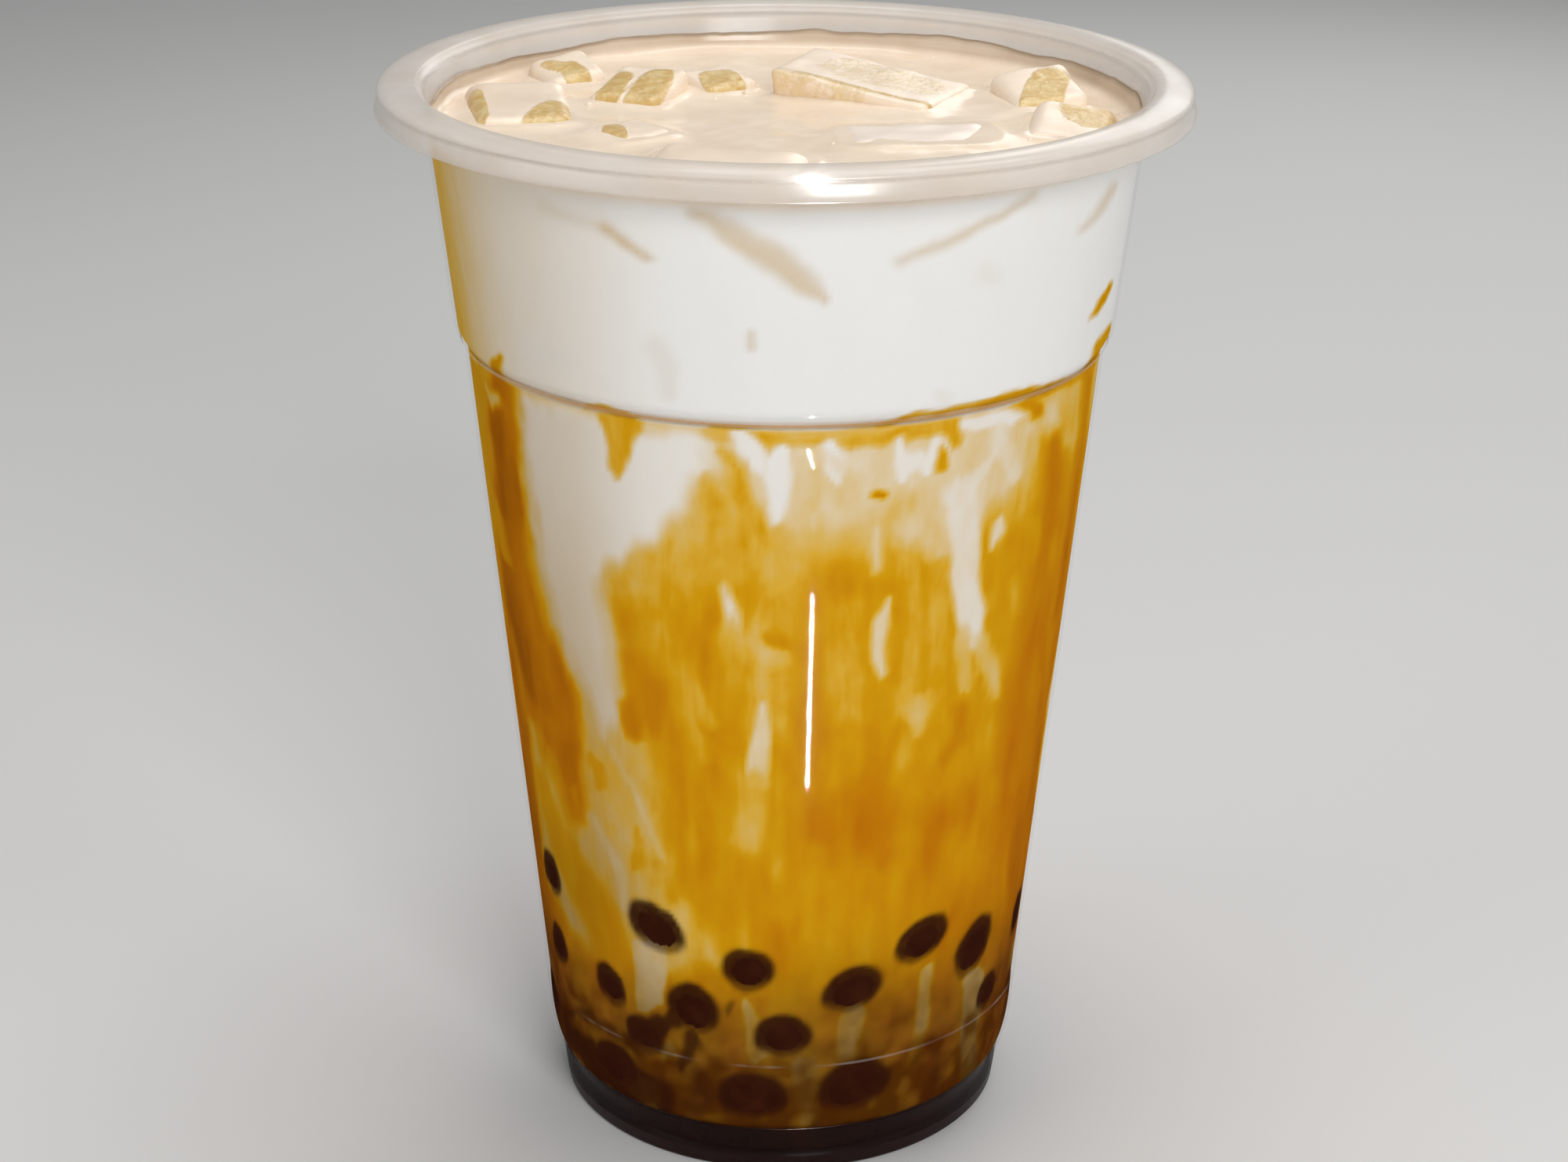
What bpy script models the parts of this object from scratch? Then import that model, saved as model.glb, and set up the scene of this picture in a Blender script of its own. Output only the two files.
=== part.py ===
"""A clear cup of iced milk tea with brown sugar syrup and tapioca pearls, at its real size.

The cup stands on the XY plane with its axis on Z, and its front faces -Y. Heights are
measured up from the table. Angles round the cup start at the front and grow to the right.
"""

import math
import random

import bmesh
import bpy
from mathutils import Matrix, Vector

MM = 0.001

# Turned pieces
TURNED_SIDES = 48
GAP = 0.3 * MM

# Cup: outer radii and heights
WALL = 0.8 * MM
RECESS_RADIUS = 24.6 * MM
RECESS_HEIGHT = 1.3 * MM
REST_INNER_RADIUS = 25.2 * MM
REST_OUTER_RADIUS = 27.2 * MM
FOOT_RADIUS = 27.9 * MM
FOOT_EDGE = 0.5 * MM
FOOT_TOP_RADIUS = 28.7 * MM
FOOT_TOP = 6.3 * MM
SHOULDER_RADIUS = 30.4 * MM
SHOULDER_TOP = 15.4 * MM
SHOULDER_STEPS = 3
BEAD_RADIUS = 30.65 * MM
BEAD_HEIGHT = 16.0 * MM
BEAD_TOP_RADIUS = 30.52 * MM
BEAD_TOP = 16.6 * MM
STEP_LOW_RADIUS = 38.42 * MM
STEP_LOW = 100.2 * MM
STEP_HIGH_RADIUS = 39.46 * MM
STEP_HIGH = 101.9 * MM
NECK_RADIUS = 42.54 * MM
NECK = 129.4 * MM

# Cup: the rolled rim, open underneath
RIM_TOP = 131.1 * MM
RIM_CREST_RADIUS = 45.0 * MM
RIM_ROLL_RADIUS = 47.5 * MM
RIM_ROLL = 130.1 * MM
RIM_GROOVE_RADIUS = 47.3 * MM
RIM_GROOVE = 129.2 * MM
RIM_LIP_RADIUS = 47.84 * MM
RIM_LIP = 128.3 * MM
RIM_BOTTOM = 127.6 * MM
RIM_THICKNESS = 1.0 * MM
RIM_MOUTH_RADIUS = 42.9 * MM
RIM_MOUTH = 130.6 * MM
ROLL_STEPS = 4
MOUTH_STEPS = 2

# Floor of the cup
FLOOR_TOP = 2.2 * MM
FLOOR_FILLET = 0.8 * MM

# Contents
SYRUP_TOP = 6.0 * MM
MILK_TEA_TOP = 100.0 * MM
DRINK_LEVEL = 125.6 * MM

# Pearls, pressed flat where they lie on the wall
PEARL_SIDES = 8
PEARL_FLAT = 0.62
PEARL_RINGS = (75, 108, 145)
PEARL_WALL_GAP = 0.45 * MM
POCKET_REACH = 0.35
PEARL_STRETCH = (0.95, 1.05)
PEARL_SEED = 5

# Pearls on the front: angle round the cup, height and radius in mm
FRONT_PEARLS = (
    (-63.5, 33.8, 4.1), (-64.2, 23.6, 3.8), (-43.0, 11.2, 3.7), (-42.5, 22.9, 3.0),
    (-33.0, 17.4, 3.1), (-28.0, 33.7, 4.0), (-20.0, 23.0, 4.4), (-6.9, 29.7, 4.0),
    (-6.4, 11.4, 4.4), (0.9, 20.4, 4.0), (16.4, 26.4, 4.1), (17.7, 12.4, 4.5),
    (32.6, 31.4, 4.1), (49.6, 27.1, 4.2), (58.3, 18.7, 3.3), (73.5, 25.9, 4.0),
)

# Pearls round the back: columns with heights that take turns
BACK_PEARLS = 18
BACK_START = 90.0
BACK_END = 282.0
BACK_HEIGHTS = (33.0, 24.0, 14.0, 29.0, 19.0)
BACK_RADII = (3.5, 4.2)
BACK_JITTER = 0.8

# Ice: place of the middle and height of the top, then length, width and depth in mm,
# then the turn about Z, the tilt to the right and the rounding of the edges
ICE = (
    (-31.4, 2.0, 126.7, 12.5, 17.0, 15.0, 8.0, 0.0, 2.0),
    (-27.0, 19.5, 126.8, 8.0, 8.5, 12.0, 25.0, -3.0, 1.4),
    (-17.6, 9.5, 127.0, 9.5, 11.0, 13.0, -20.0, -4.0, 1.3),
    (-8.4, 15.6, 126.6, 8.0, 8.0, 11.0, 35.0, 3.0, 1.4),
    (10.3, 13.2, 128.0, 20.5, 14.5, 15.0, -25.0, 9.0, 0.7),
    (30.5, 10.0, 126.9, 9.5, 11.0, 13.0, 15.0, -3.0, 1.3),
    (33.0, -5.5, 126.6, 10.5, 13.0, 14.0, -12.0, 2.0, 1.8),
    (15.2, -9.5, 126.4, 19.0, 12.0, 15.0, 8.0, 1.0, 1.6),
    (-6.8, -26.5, 126.7, 19.0, 17.0, 16.0, -15.0, 0.0, 3.0),
    (-17.5, -9.0, 126.3, 8.5, 8.5, 11.0, 40.0, 2.0, 1.5),
)
ICE_TAPER = 0.84
ICE_UNEVENNESS = (0.05, 0.05, 0.01)
ICE_BEVEL_STEPS = 2
ICE_POCKET_GROWTH = 0.34 * MM
ICE_SEED = 11

# Finishes: colour, roughness and alpha
FINISHES = {
    "clear_plastic": ((0.86, 0.84, 0.80), 0.12, 0.35),
    "syrup": ((0.03, 0.008, 0.004), 0.25, 1.0),
    "milk_tea": ((0.55, 0.25, 0.02), 0.35, 1.0),
    "milk": ((0.80, 0.76, 0.68), 0.35, 1.0),
    "pearl": ((0.035, 0.006, 0.002), 0.2, 1.0),
    "ice": ((0.70, 0.62, 0.42), 0.1, 0.6),
}


def clear_scene():
    for scene_object in list(bpy.data.objects):
        bpy.data.objects.remove(scene_object, do_unlink=True)


def plain_material(name):
    colour, roughness, alpha = FINISHES[name]
    material = bpy.data.materials.new(name)
    material.use_nodes = True
    shader = material.node_tree.nodes["Principled BSDF"]
    shader.inputs["Base Color"].default_value = (*colour, 1.0)
    shader.inputs["Roughness"].default_value = roughness
    shader.inputs["Metallic"].default_value = 0.0
    shader.inputs["Alpha"].default_value = alpha
    material.diffuse_color = (*colour, alpha)
    return material


def between(low, high, share):
    return low + (high - low) * share


def mesh_from(shape, name, smooth_below=35):
    mesh = bpy.data.meshes.new(name)
    shape.to_mesh(mesh)
    shape.free()
    mesh.shade_smooth()
    mesh.set_sharp_from_angle(angle=math.radians(smooth_below))
    return mesh


def turned_mesh(name, profile, sides=TURNED_SIDES):
    """Turns a profile of (radius, height) points, which starts and ends on the axis."""
    shape = bmesh.new()
    points = [shape.verts.new((radius, 0.0, height)) for radius, height in profile]
    edges = [shape.edges.new(pair) for pair in zip(points, points[1:])]
    bmesh.ops.spin(shape, geom=points + edges, cent=(0, 0, 0), axis=(0, 0, 1),
                   angle=math.tau, steps=sides, use_merge=True)
    bmesh.ops.remove_doubles(shape, verts=shape.verts, dist=1e-7)
    bmesh.ops.recalc_face_normals(shape, faces=shape.faces)
    return mesh_from(shape, name)


def add_object(name, mesh, material=None, matrix=None):
    new_object = bpy.data.objects.new(name, mesh)
    bpy.context.scene.collection.objects.link(new_object)
    if material and not mesh.materials:
        mesh.materials.append(material)
    if matrix:
        new_object.matrix_world = matrix
    return new_object


def quarter_turn(steps):
    """Angles from 0 to 90 degrees in even steps."""
    return [math.pi / 2 * step / steps for step in range(steps + 1)]


def shoulder_points():
    """Points (radius, height) of the rounded shoulder over the foot, bottom to top."""
    return [(between(FOOT_TOP_RADIUS, SHOULDER_RADIUS, math.sin(turn)),
             between(FOOT_TOP, SHOULDER_TOP, 1 - math.cos(turn))) for turn in quarter_turn(SHOULDER_STEPS)]


def outer_wall():
    """Points (radius, height) of the cup's outside, from the foot's top to the neck."""
    return [*shoulder_points(), (BEAD_RADIUS, BEAD_HEIGHT), (BEAD_TOP_RADIUS, BEAD_TOP),
            (STEP_LOW_RADIUS, STEP_LOW), (STEP_HIGH_RADIUS, STEP_HIGH), (NECK_RADIUS, NECK)]


def inner_wall():
    """Points (radius, height) of the cup's inside, without the bead, bottom to top."""
    floor_radius = FOOT_RADIUS - WALL
    points = [(radius, height) for radius, height in outer_wall() if radius != BEAD_RADIUS]
    return [(floor_radius - FLOOR_FILLET, FLOOR_TOP), (floor_radius, FLOOR_TOP + FLOOR_FILLET),
            *[(radius - WALL, height) for radius, height in points]]


def inside_radius(height):
    """Radius of the cup's inside at a height above the floor's fillet."""
    points = inner_wall()
    for (low_radius, low), (high_radius, high) in zip(points, points[1:]):
        if low <= height <= high:
            return between(low_radius, high_radius, (height - low) / (high - low))
    raise ValueError("height is outside the cup")


def inside_slope(height):
    """Angle by which the inside leans outwards at a height."""
    reach = 1.5 * MM
    return math.atan2(inside_radius(height + reach) - inside_radius(height - reach), 2 * reach)


def rim_points():
    """Points (radius, height) of the rim, from the neck under it to the mouth."""
    ceiling = RIM_TOP - RIM_THICKNESS
    skirt = RIM_ROLL_RADIUS - RIM_THICKNESS
    under = [(RIM_MOUTH_RADIUS + RIM_THICKNESS / 2, ceiling), (skirt - RIM_THICKNESS / 2, ceiling),
             (skirt, RIM_GROOVE), (RIM_LIP_RADIUS - RIM_THICKNESS, RIM_BOTTOM)]
    lip = [(RIM_LIP_RADIUS - RIM_THICKNESS / 3, RIM_BOTTOM), (RIM_LIP_RADIUS, RIM_LIP - RIM_THICKNESS / 3),
           (RIM_LIP_RADIUS, RIM_LIP + RIM_THICKNESS / 3), (RIM_GROOVE_RADIUS, RIM_GROOVE)]
    roll = [(between(RIM_CREST_RADIUS, RIM_ROLL_RADIUS, math.cos(turn)),
             between(RIM_ROLL, RIM_TOP, math.sin(turn))) for turn in quarter_turn(ROLL_STEPS)]
    mouth = [(between(RIM_CREST_RADIUS, RIM_MOUTH_RADIUS, math.sin(turn)),
              between(RIM_MOUTH, RIM_TOP, math.cos(turn))) for turn in quarter_turn(MOUTH_STEPS)[1:]]
    throat = (RIM_MOUTH_RADIUS - WALL / 2, (NECK + RIM_MOUTH) / 2)
    return [*under, *lip, *roll, *mouth, throat]


def make_cup():
    underside = [(0.0, RECESS_HEIGHT), (RECESS_RADIUS, RECESS_HEIGHT), (REST_INNER_RADIUS, 0.0),
                 (REST_OUTER_RADIUS, 0.0), (FOOT_RADIUS, FOOT_EDGE)]
    inside = list(reversed(inner_wall()))
    profile = [*underside, *outer_wall(), *rim_points(), *inside, (0.0, FLOOR_TOP)]
    return add_object("cup", turned_mesh("cup", profile), plain_material("clear_plastic"))


def filling_profile(low, high):
    """Profile of what fills the cup from one height to another, clear of the wall."""
    heights = [low, *[height for _, height in inner_wall() if low < height < high], high]
    return [(0.0, low), *[(inside_radius(height) - GAP, height) for height in heights], (0.0, high)]


def make_filling(name, low, high):
    return add_object(name, turned_mesh(name, filling_profile(low, high)), plain_material(name))


def cut(target, cutter):
    """Takes the cutter's shape out of the target and hides the cutter."""
    modifier = target.modifiers.new(cutter.name, "BOOLEAN")
    modifier.operation = "DIFFERENCE"
    modifier.object = cutter
    cutter.hide_render = True
    cutter.display_type = "WIRE"


def joined_mesh(name, meshes_and_matrices):
    """One mesh made of several separate closed shapes."""
    shape = bmesh.new()
    for mesh, matrix in meshes_and_matrices:
        start = len(shape.verts)
        shape.from_mesh(mesh)
        shape.verts.ensure_lookup_table()
        bmesh.ops.transform(shape, matrix=matrix, verts=shape.verts[start:])
    return mesh_from(shape, name)


def pearl_profile(front):
    """Profile of a ball of radius 1 on its own axis, flat on the side that meets the wall."""
    flat_radius = math.sqrt(1 - PEARL_FLAT ** 2)
    rings = [(math.sin(math.radians(turn)), math.cos(math.radians(turn))) for turn in PEARL_RINGS]
    face = [(0.0, front), (flat_radius, front)]
    if front > PEARL_FLAT:
        face.append((flat_radius, PEARL_FLAT))
    return [*face, *rings, (0.0, -1.0)]


def pearl_matrix(angle, height, radius, stretch, growth=0.0):
    """Places a unit pearl on the wall, its flat side outwards."""
    slope = inside_slope(height)
    outwards = Vector((math.sin(angle), -math.cos(angle), 0.0))
    sideways = Vector((math.cos(angle), math.sin(angle), 0.0))
    normal = outwards * math.cos(slope) - Vector((0.0, 0.0, math.sin(slope)))
    upwards = normal.cross(sideways)
    contact = outwards * (inside_radius(height) - PEARL_WALL_GAP) + Vector((0.0, 0.0, height))
    centre = contact - normal * PEARL_FLAT * radius
    turn = Matrix((sideways, upwards, normal)).transposed().to_4x4()
    wide, tall = (radius * stretch + growth), (radius / stretch + growth)
    return Matrix.Translation(centre) @ turn @ Matrix.Diagonal((wide, tall, radius + growth, 1.0))


def pearl_places():
    """Angle, height, radius and sideways stretch of each pearl."""
    draw = random.Random(PEARL_SEED)
    front = [(math.radians(angle), height * MM, radius * MM) for angle, height, radius in FRONT_PEARLS]
    spacing = (BACK_END - BACK_START) / (BACK_PEARLS - 1)
    back = []
    for column in range(BACK_PEARLS):
        height = BACK_HEIGHTS[column % len(BACK_HEIGHTS)] + draw.uniform(-BACK_JITTER, BACK_JITTER)
        angle = BACK_START + column * spacing + draw.uniform(-BACK_JITTER, BACK_JITTER)
        back.append((math.radians(angle), height * MM, draw.uniform(*BACK_RADII) * MM))
    return [(*place, draw.uniform(*PEARL_STRETCH)) for place in front + back]


def make_pearls(milk_tea):
    material = plain_material("pearl")
    pearl = turned_mesh("pearl", pearl_profile(PEARL_FLAT), PEARL_SIDES)
    pocket = turned_mesh("pearl_pocket", pearl_profile(PEARL_FLAT + POCKET_REACH), PEARL_SIDES)
    pockets = []
    for number, place in enumerate(pearl_places(), start=1):
        add_object(f"pearl_{number:02d}", pearl, material, pearl_matrix(*place))
        pockets.append((pocket, pearl_matrix(*place, growth=GAP)))
    cut(milk_tea, add_object("pearl_pockets", joined_mesh("pearl_pockets", pockets)))


def ice_shape(size, rounding, draw):
    """A bevelled block of ice, narrower below and a little uneven, its top face at zero."""
    shape = bmesh.new()
    bmesh.ops.create_cube(shape, size=1.0)
    for vertex in shape.verts:
        taper = ICE_TAPER if vertex.co.z < 0 else 1.0
        for axis in range(3):
            shift = draw.uniform(-1, 1) * ICE_UNEVENNESS[axis]
            vertex.co[axis] = (vertex.co[axis] + shift) * size[axis]
        vertex.co.x *= taper
        vertex.co.y *= taper
        vertex.co.z -= size[2] / 2
    bmesh.ops.bevel(shape, geom=shape.edges[:], offset=rounding, segments=ICE_BEVEL_STEPS,
                    profile=0.5, affect="EDGES")
    bmesh.ops.triangulate(shape, faces=shape.faces[:])
    bmesh.ops.recalc_face_normals(shape, faces=shape.faces)
    return shape


def grown(mesh, name, distance):
    """The mesh with every point moved out along its normal."""
    shape = bmesh.new()
    shape.from_mesh(mesh)
    shape.normal_update()
    moved = [(vertex, vertex.co + vertex.normal * distance) for vertex in shape.verts]
    for vertex, place in moved:
        vertex.co = place
    return mesh_from(shape, name)


def make_ice(milk):
    material = plain_material("ice")
    draw = random.Random(ICE_SEED)
    pockets = []
    for number, (x, y, top, length, width, depth, turn, tilt, rounding) in enumerate(ICE, start=1):
        name = f"ice_{number:02d}"
        size = (length * MM, width * MM, depth * MM)
        mesh = mesh_from(ice_shape(size, rounding * MM, draw), name)
        matrix = (Matrix.Translation((x * MM, y * MM, top * MM)) @ Matrix.Rotation(math.radians(turn), 4, "Z")
                  @ Matrix.Rotation(math.radians(tilt), 4, "Y"))
        add_object(name, mesh, material, matrix)
        pockets.append((grown(mesh, f"{name}_pocket", ICE_POCKET_GROWTH), matrix))
    cut(milk, add_object("ice_pockets", joined_mesh("ice_pockets", pockets)))


def main():
    clear_scene()
    make_cup()
    make_filling("syrup", FLOOR_TOP + GAP, SYRUP_TOP)
    milk_tea = make_filling("milk_tea", SYRUP_TOP + GAP, MILK_TEA_TOP)
    milk = make_filling("milk", MILK_TEA_TOP + GAP, DRINK_LEVEL)
    make_pearls(milk_tea)
    make_ice(milk)


main()
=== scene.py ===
"""Looks of an iced milk tea with tapioca pearls and brown sugar syrup in a clear takeaway cup.

All sizes are in millimetres and all angles in degrees until a mesh is made. An angle on the cup is counted
from the front, growing towards the right as the cup is seen from the front.
"""
from __future__ import annotations

import itertools
import logging
import math
from collections.abc import Iterator
from dataclasses import dataclass, field
from enum import Enum

import bmesh
import bpy
import numpy as np
from bpy.types import ID, ColorRamp, Material, Mesh, Node, NodeSocket, NodeTree, Object
from mathutils import Matrix, Vector
from numpy import ndarray

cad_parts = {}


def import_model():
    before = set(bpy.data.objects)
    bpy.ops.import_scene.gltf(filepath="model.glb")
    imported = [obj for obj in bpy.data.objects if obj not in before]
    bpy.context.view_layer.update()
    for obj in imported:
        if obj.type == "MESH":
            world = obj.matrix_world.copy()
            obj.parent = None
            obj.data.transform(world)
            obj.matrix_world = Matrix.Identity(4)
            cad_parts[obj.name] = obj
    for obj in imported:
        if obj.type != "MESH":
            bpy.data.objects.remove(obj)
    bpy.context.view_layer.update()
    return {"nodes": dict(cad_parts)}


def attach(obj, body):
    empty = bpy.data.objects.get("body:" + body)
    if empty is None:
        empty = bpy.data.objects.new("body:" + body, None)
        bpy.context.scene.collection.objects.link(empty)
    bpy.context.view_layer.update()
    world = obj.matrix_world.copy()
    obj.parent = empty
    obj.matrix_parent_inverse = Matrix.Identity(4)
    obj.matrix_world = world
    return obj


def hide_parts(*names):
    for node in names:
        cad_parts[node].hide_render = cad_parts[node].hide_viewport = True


LOG = logging.getLogger("bubble_tea")
MM = 0.001
FRAME_WIDTH = 2000
LEVEL_HEIGHT = 125.6
FOOT_TOP = 6.1
STEP_HEIGHT = 100.12
ICE_SEED = 60


def linear(red: float, green: float, blue: float) -> tuple[float, float, float, float]:
    """Turns a display colour of 0 to 255 into a linear colour with full alpha."""
    def channel(value: float) -> float:
        share = value / 255
        return share / 12.92 if share <= 0.04045 else ((share + 0.055) / 1.055) ** 2.4
    return channel(red), channel(green), channel(blue), 1.0


class Value:
    """A number that varies over a surface: one output socket of a shader node, with the usual operators."""

    def __init__(self, shader: Shader, socket: NodeSocket) -> None:
        """Keeps the socket and the shader that its nodes are added to."""
        self.shader = shader
        self.socket = socket

    def _maths(self, operation: str, *operands: object) -> Value:
        """Adds one Math node whose inputs are the operands in order."""
        node = self.shader.node("ShaderNodeMath", {"operation": operation}, dict(enumerate(operands)))
        return Value(self.shader, node.outputs[0])

    def __add__(self, other: object) -> Value:
        """Sum of both."""
        return self._maths("ADD", self, other)

    def __sub__(self, other: object) -> Value:
        """This less the other."""
        return self._maths("SUBTRACT", self, other)

    def __mul__(self, other: object) -> Value:
        """Product of both."""
        return self._maths("MULTIPLY", self, other)

    def __pow__(self, other: object) -> Value:
        """This to the power of the other."""
        return self._maths("POWER", self, other)

    __radd__ = __add__

    def least(self, other: object) -> Value:
        """The smaller of both."""
        return self._maths("MINIMUM", self, other)

    def most(self, other: object) -> Value:
        """The larger of both."""
        return self._maths("MAXIMUM", self, other)

    def clamped(self) -> Value:
        """This, held between 0 and 1."""
        return self.least(1.0).most(0.0)

    def fade(self, low: float, high: float, start: float = 0.0, end: float = 1.0) -> Value:
        """Runs smoothly from start to end while this goes from low to high."""
        inputs = {0: self, 1: low, 2: high, 3: start, 4: end}
        node = self.shader.node("ShaderNodeMapRange", {"interpolation_type": "SMOOTHSTEP"}, inputs)
        return Value(self.shader, node.outputs[0])


class Shader:
    """The node tree of one material."""

    def __init__(self, name: str) -> None:
        """Makes the material with nothing but its output node."""
        self.material = bpy.data.materials.new(name)
        self.material.use_nodes = True
        self.tree = self.material.node_tree
        self.tree.nodes.clear()
        self.output = self.node("ShaderNodeOutputMaterial")
        self.place = self.node("ShaderNodeTexCoord").outputs["Object"]

    def node(self, kind: str, settings: dict | None = None, inputs: dict | None = None) -> Node:
        """Adds a node.

        Args:
            kind: The node's type.
            settings: The node's own properties, set before its sockets. A ramp's stops are under "stops".
            inputs: Numbers, colours, sockets or Values for its input sockets, by name or index.

        Returns:
            The new node.
        """
        node = self.tree.nodes.new(kind)
        for key, setting in (settings or {}).items():
            if key == "stops":
                self._set_stops(node.color_ramp, setting)
            else:
                setattr(node, key, setting)
        for key, content in (inputs or {}).items():
            source = content.socket if isinstance(content, Value) else content
            if isinstance(source, NodeSocket):
                self.tree.links.new(source, node.inputs[key])
            else:
                node.inputs[key].default_value = source
        return node

    @staticmethod
    def _set_stops(ramp: ColorRamp, stops: tuple) -> None:
        """Gives a ramp its (place, colour) stops."""
        while len(ramp.elements) > 1:
            ramp.elements.remove(ramp.elements[-1])
        for count, (place, colour) in enumerate(stops):
            element = ramp.elements[0] if count == 0 else ramp.elements.new(place)
            element.position, element.color = place, colour

    def attribute(self, name: str) -> Value:
        """Reads a number that the mesh carries at its vertices."""
        node = self.node("ShaderNodeAttribute", {"attribute_name": name})
        return Value(self, node.outputs["Fac"])

    def noise(self, cells_per_mm: float, tall: float = 1.0, detail: float = 3.0,
              roughness: float = 0.5, distortion: float = 0.0) -> Value:
        """Soft noise over Object coordinates.

        Args:
            cells_per_mm: How many waves there are in a millimetre.
            tall: How much longer the waves are upwards than sideways.
            detail: Number of finer layers.
            roughness: Weight of the finer layers.
            distortion: How far the pattern is bent.

        Returns:
            A number around 0.5.
        """
        scale = [cells_per_mm / MM / s for s in (1, 1, tall)]
        mapping = self.node("ShaderNodeMapping", None, {"Vector": self.place, "Scale": scale})
        inputs = {"Vector": mapping.outputs[0], "Scale": 1.0, "Detail": detail, "Roughness": roughness,
                  "Distortion": distortion}
        return Value(self, self.node("ShaderNodeTexNoise", None, inputs).outputs["Fac"])

    def height(self) -> Value:
        """Height above the foot, in millimetres."""
        return Value(self, self.node("ShaderNodeSeparateXYZ", None, {0: self.place}).outputs[2]) * (1 / MM)

    def mix(self, share: object, first: object, second: object, blend: str = "MIX") -> NodeSocket:
        """Mixes two colours.

        Args:
            share: How much of the second one there is.
            first: Colour or socket.
            second: Colour or socket.
            blend: The blend's name.

        Returns:
            The mixed colour's socket.
        """
        settings = {"data_type": "RGBA", "blend_type": blend}
        return self.node("ShaderNodeMix", settings, {0: share, 6: first, 7: second}).outputs[2]

    def bump(self, relief: Value, distance: float) -> NodeSocket:
        """Turns a relief of 0 to 1, as deep as distance in millimetres, into a normal."""
        return self.node("ShaderNodeBump", None, {"Height": relief, "Distance": distance * MM}).outputs[0]

    def principled(self, **inputs: object) -> NodeSocket:
        """Adds a Principled shader; names of inputs have _ for a space."""
        named = {key.replace("_", " "): content for key, content in inputs.items()}
        return self.node("ShaderNodeBsdfPrincipled", None, named).outputs[0]

    def blend_shaders(self, share: object, first: NodeSocket,
                      second: NodeSocket) -> NodeSocket:
        """Mixes two shaders by the second one's share."""
        return self.node("ShaderNodeMixShader", None, {0: share, 1: first, 2: second}).outputs[0]

    def finish(self, surface: NodeSocket) -> Material:
        """Joins the surface to the output and gives the material."""
        self.tree.links.new(surface, self.output.inputs["Surface"])
        return self.material


@dataclass(frozen=True)
class ClearPlastic:
    """Thin moulded plastic: clear over the drink, milkier where the rim is thick."""

    body: tuple = linear(232, 221, 208)
    body_cloud: tuple = linear(230, 221, 212)
    tint: tuple = linear(252, 252, 252)
    # Painted shade: the clear foot is coloured near black for the shaded hollow under the cup's floor.
    foot: tuple = linear(36, 15, 11)
    foot_top: float = 6.2
    film: tuple = linear(208, 142, 52)
    ledge: float = 100.65
    # Heights of the painted highlight band along the bead.
    bead: tuple = (15.98, 16.14, 16.24, 16.44)
    groove: tuple = (129.45, 129.85, 129.95, 130.3)
    wall_milkiness: float = 0.002
    neck_milkiness: float = 0.42
    rim_milkiness: float = 0.64
    ring_milkiness: float = 0.90
    foot_milkiness: float = 0.45
    gloss_roughness: float = 0.035
    straight_gloss: float = 0.0022
    edge_gloss: float = 0.008

    def material(self) -> Material:
        """Makes the material.

        Returns:
            A see-through material with a milky share and a gloss that grows towards the edges.
        """
        shader = Shader("clear_plastic")
        height = shader.height()
        cloud = shader.noise(0.12, 2.5)
        ripple = shader.noise(0.10, 9, detail=2.0) * 0.6 + shader.noise(0.9, detail=2.0) * 0.05
        normal = shader.bump(ripple, 0.07)
        ledge = self._band(height, self.ledge - 0.35, self.ledge - 0.1, self.ledge + 0.1, self.ledge + 0.35)
        milky = self._milkiness(shader, height, cloud).most(ledge * (cloud * 0.45 + 0.35))
        colour = shader.mix(cloud.fade(0.3, 0.7), self.body, self.body_cloud)
        # Painted shade: below the foot's top the plastic takes the near-black colour.
        colour = shader.mix(height.fade(self.foot_top - 0.04, self.foot_top), self.foot, colour)
        colour = shader.mix(ledge, colour, self.film)
        body = shader.principled(Base_Color=colour, Roughness=0.35, Specular_IOR_Level=0.05, Normal=normal,
                                 Coat_Weight=height.fade(20, 110, 0.04, 0.75), Coat_Roughness=0.20)
        clear = shader.node("ShaderNodeBsdfTransparent", None, {"Color": self.tint}).outputs[0]
        inputs = {"Roughness": self.gloss_roughness, "Normal": normal}
        gloss = shader.node("ShaderNodeBsdfGlossy", None, inputs).outputs[0]
        facing = Value(shader, shader.node("ShaderNodeLayerWeight", None, {"Blend": 0.5}).outputs["Facing"])
        shine = facing ** 4.0 * self.edge_gloss + self.straight_gloss
        return shader.finish(shader.blend_shaders(shine, shader.blend_shaders(milky, clear, body), gloss))

    def _milkiness(self, shader: Shader, height: Value, cloud: Value) -> Value:
        """How milky the plastic is: hardly on the wall, more in the rim and foot; a painted highlight along
        the bead.
        """
        milky = height.fade(125.8, 127.8, self.wall_milkiness, self.neck_milkiness)
        milky = milky + height.fade(127.8, 129.8, 0.0, self.rim_milkiness - self.neck_milkiness)
        milky = (milky * (cloud * 0.5 + 0.75)).clamped() - self._band(height, *self.groove) * 0.30
        # The foot is made milky, most below the floor, so that its painted shade hides what lies behind it.
        milky = milky.most(height.fade(2.5, 2.0, 0.0, self.ring_milkiness))
        milky = milky.most(height.fade(self.foot_top, self.foot_top - 0.4, 0.0, self.foot_milkiness))
        # Painted highlight: a milky line, in pieces, along the bead's top stands in for light caught on its
        # edge.
        broken_highlight = shader.noise(0.09, 20, roughness=0.7).fade(0.40, 0.62)
        return milky.most(self._band(height, *self.bead) * broken_highlight * 0.14)

    @staticmethod
    def _band(height: Value, start: float, full: float, going: float, end: float) -> Value:
        """Share of a band round the cup that rises from start to full and falls from going to end."""
        return height.fade(start, full) * height.fade(end, going)


class Taste(Enum):
    """Amounts of syrup in the milk that the marbling goes by."""

    MILK = 0.04
    TAN = 0.40


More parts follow.
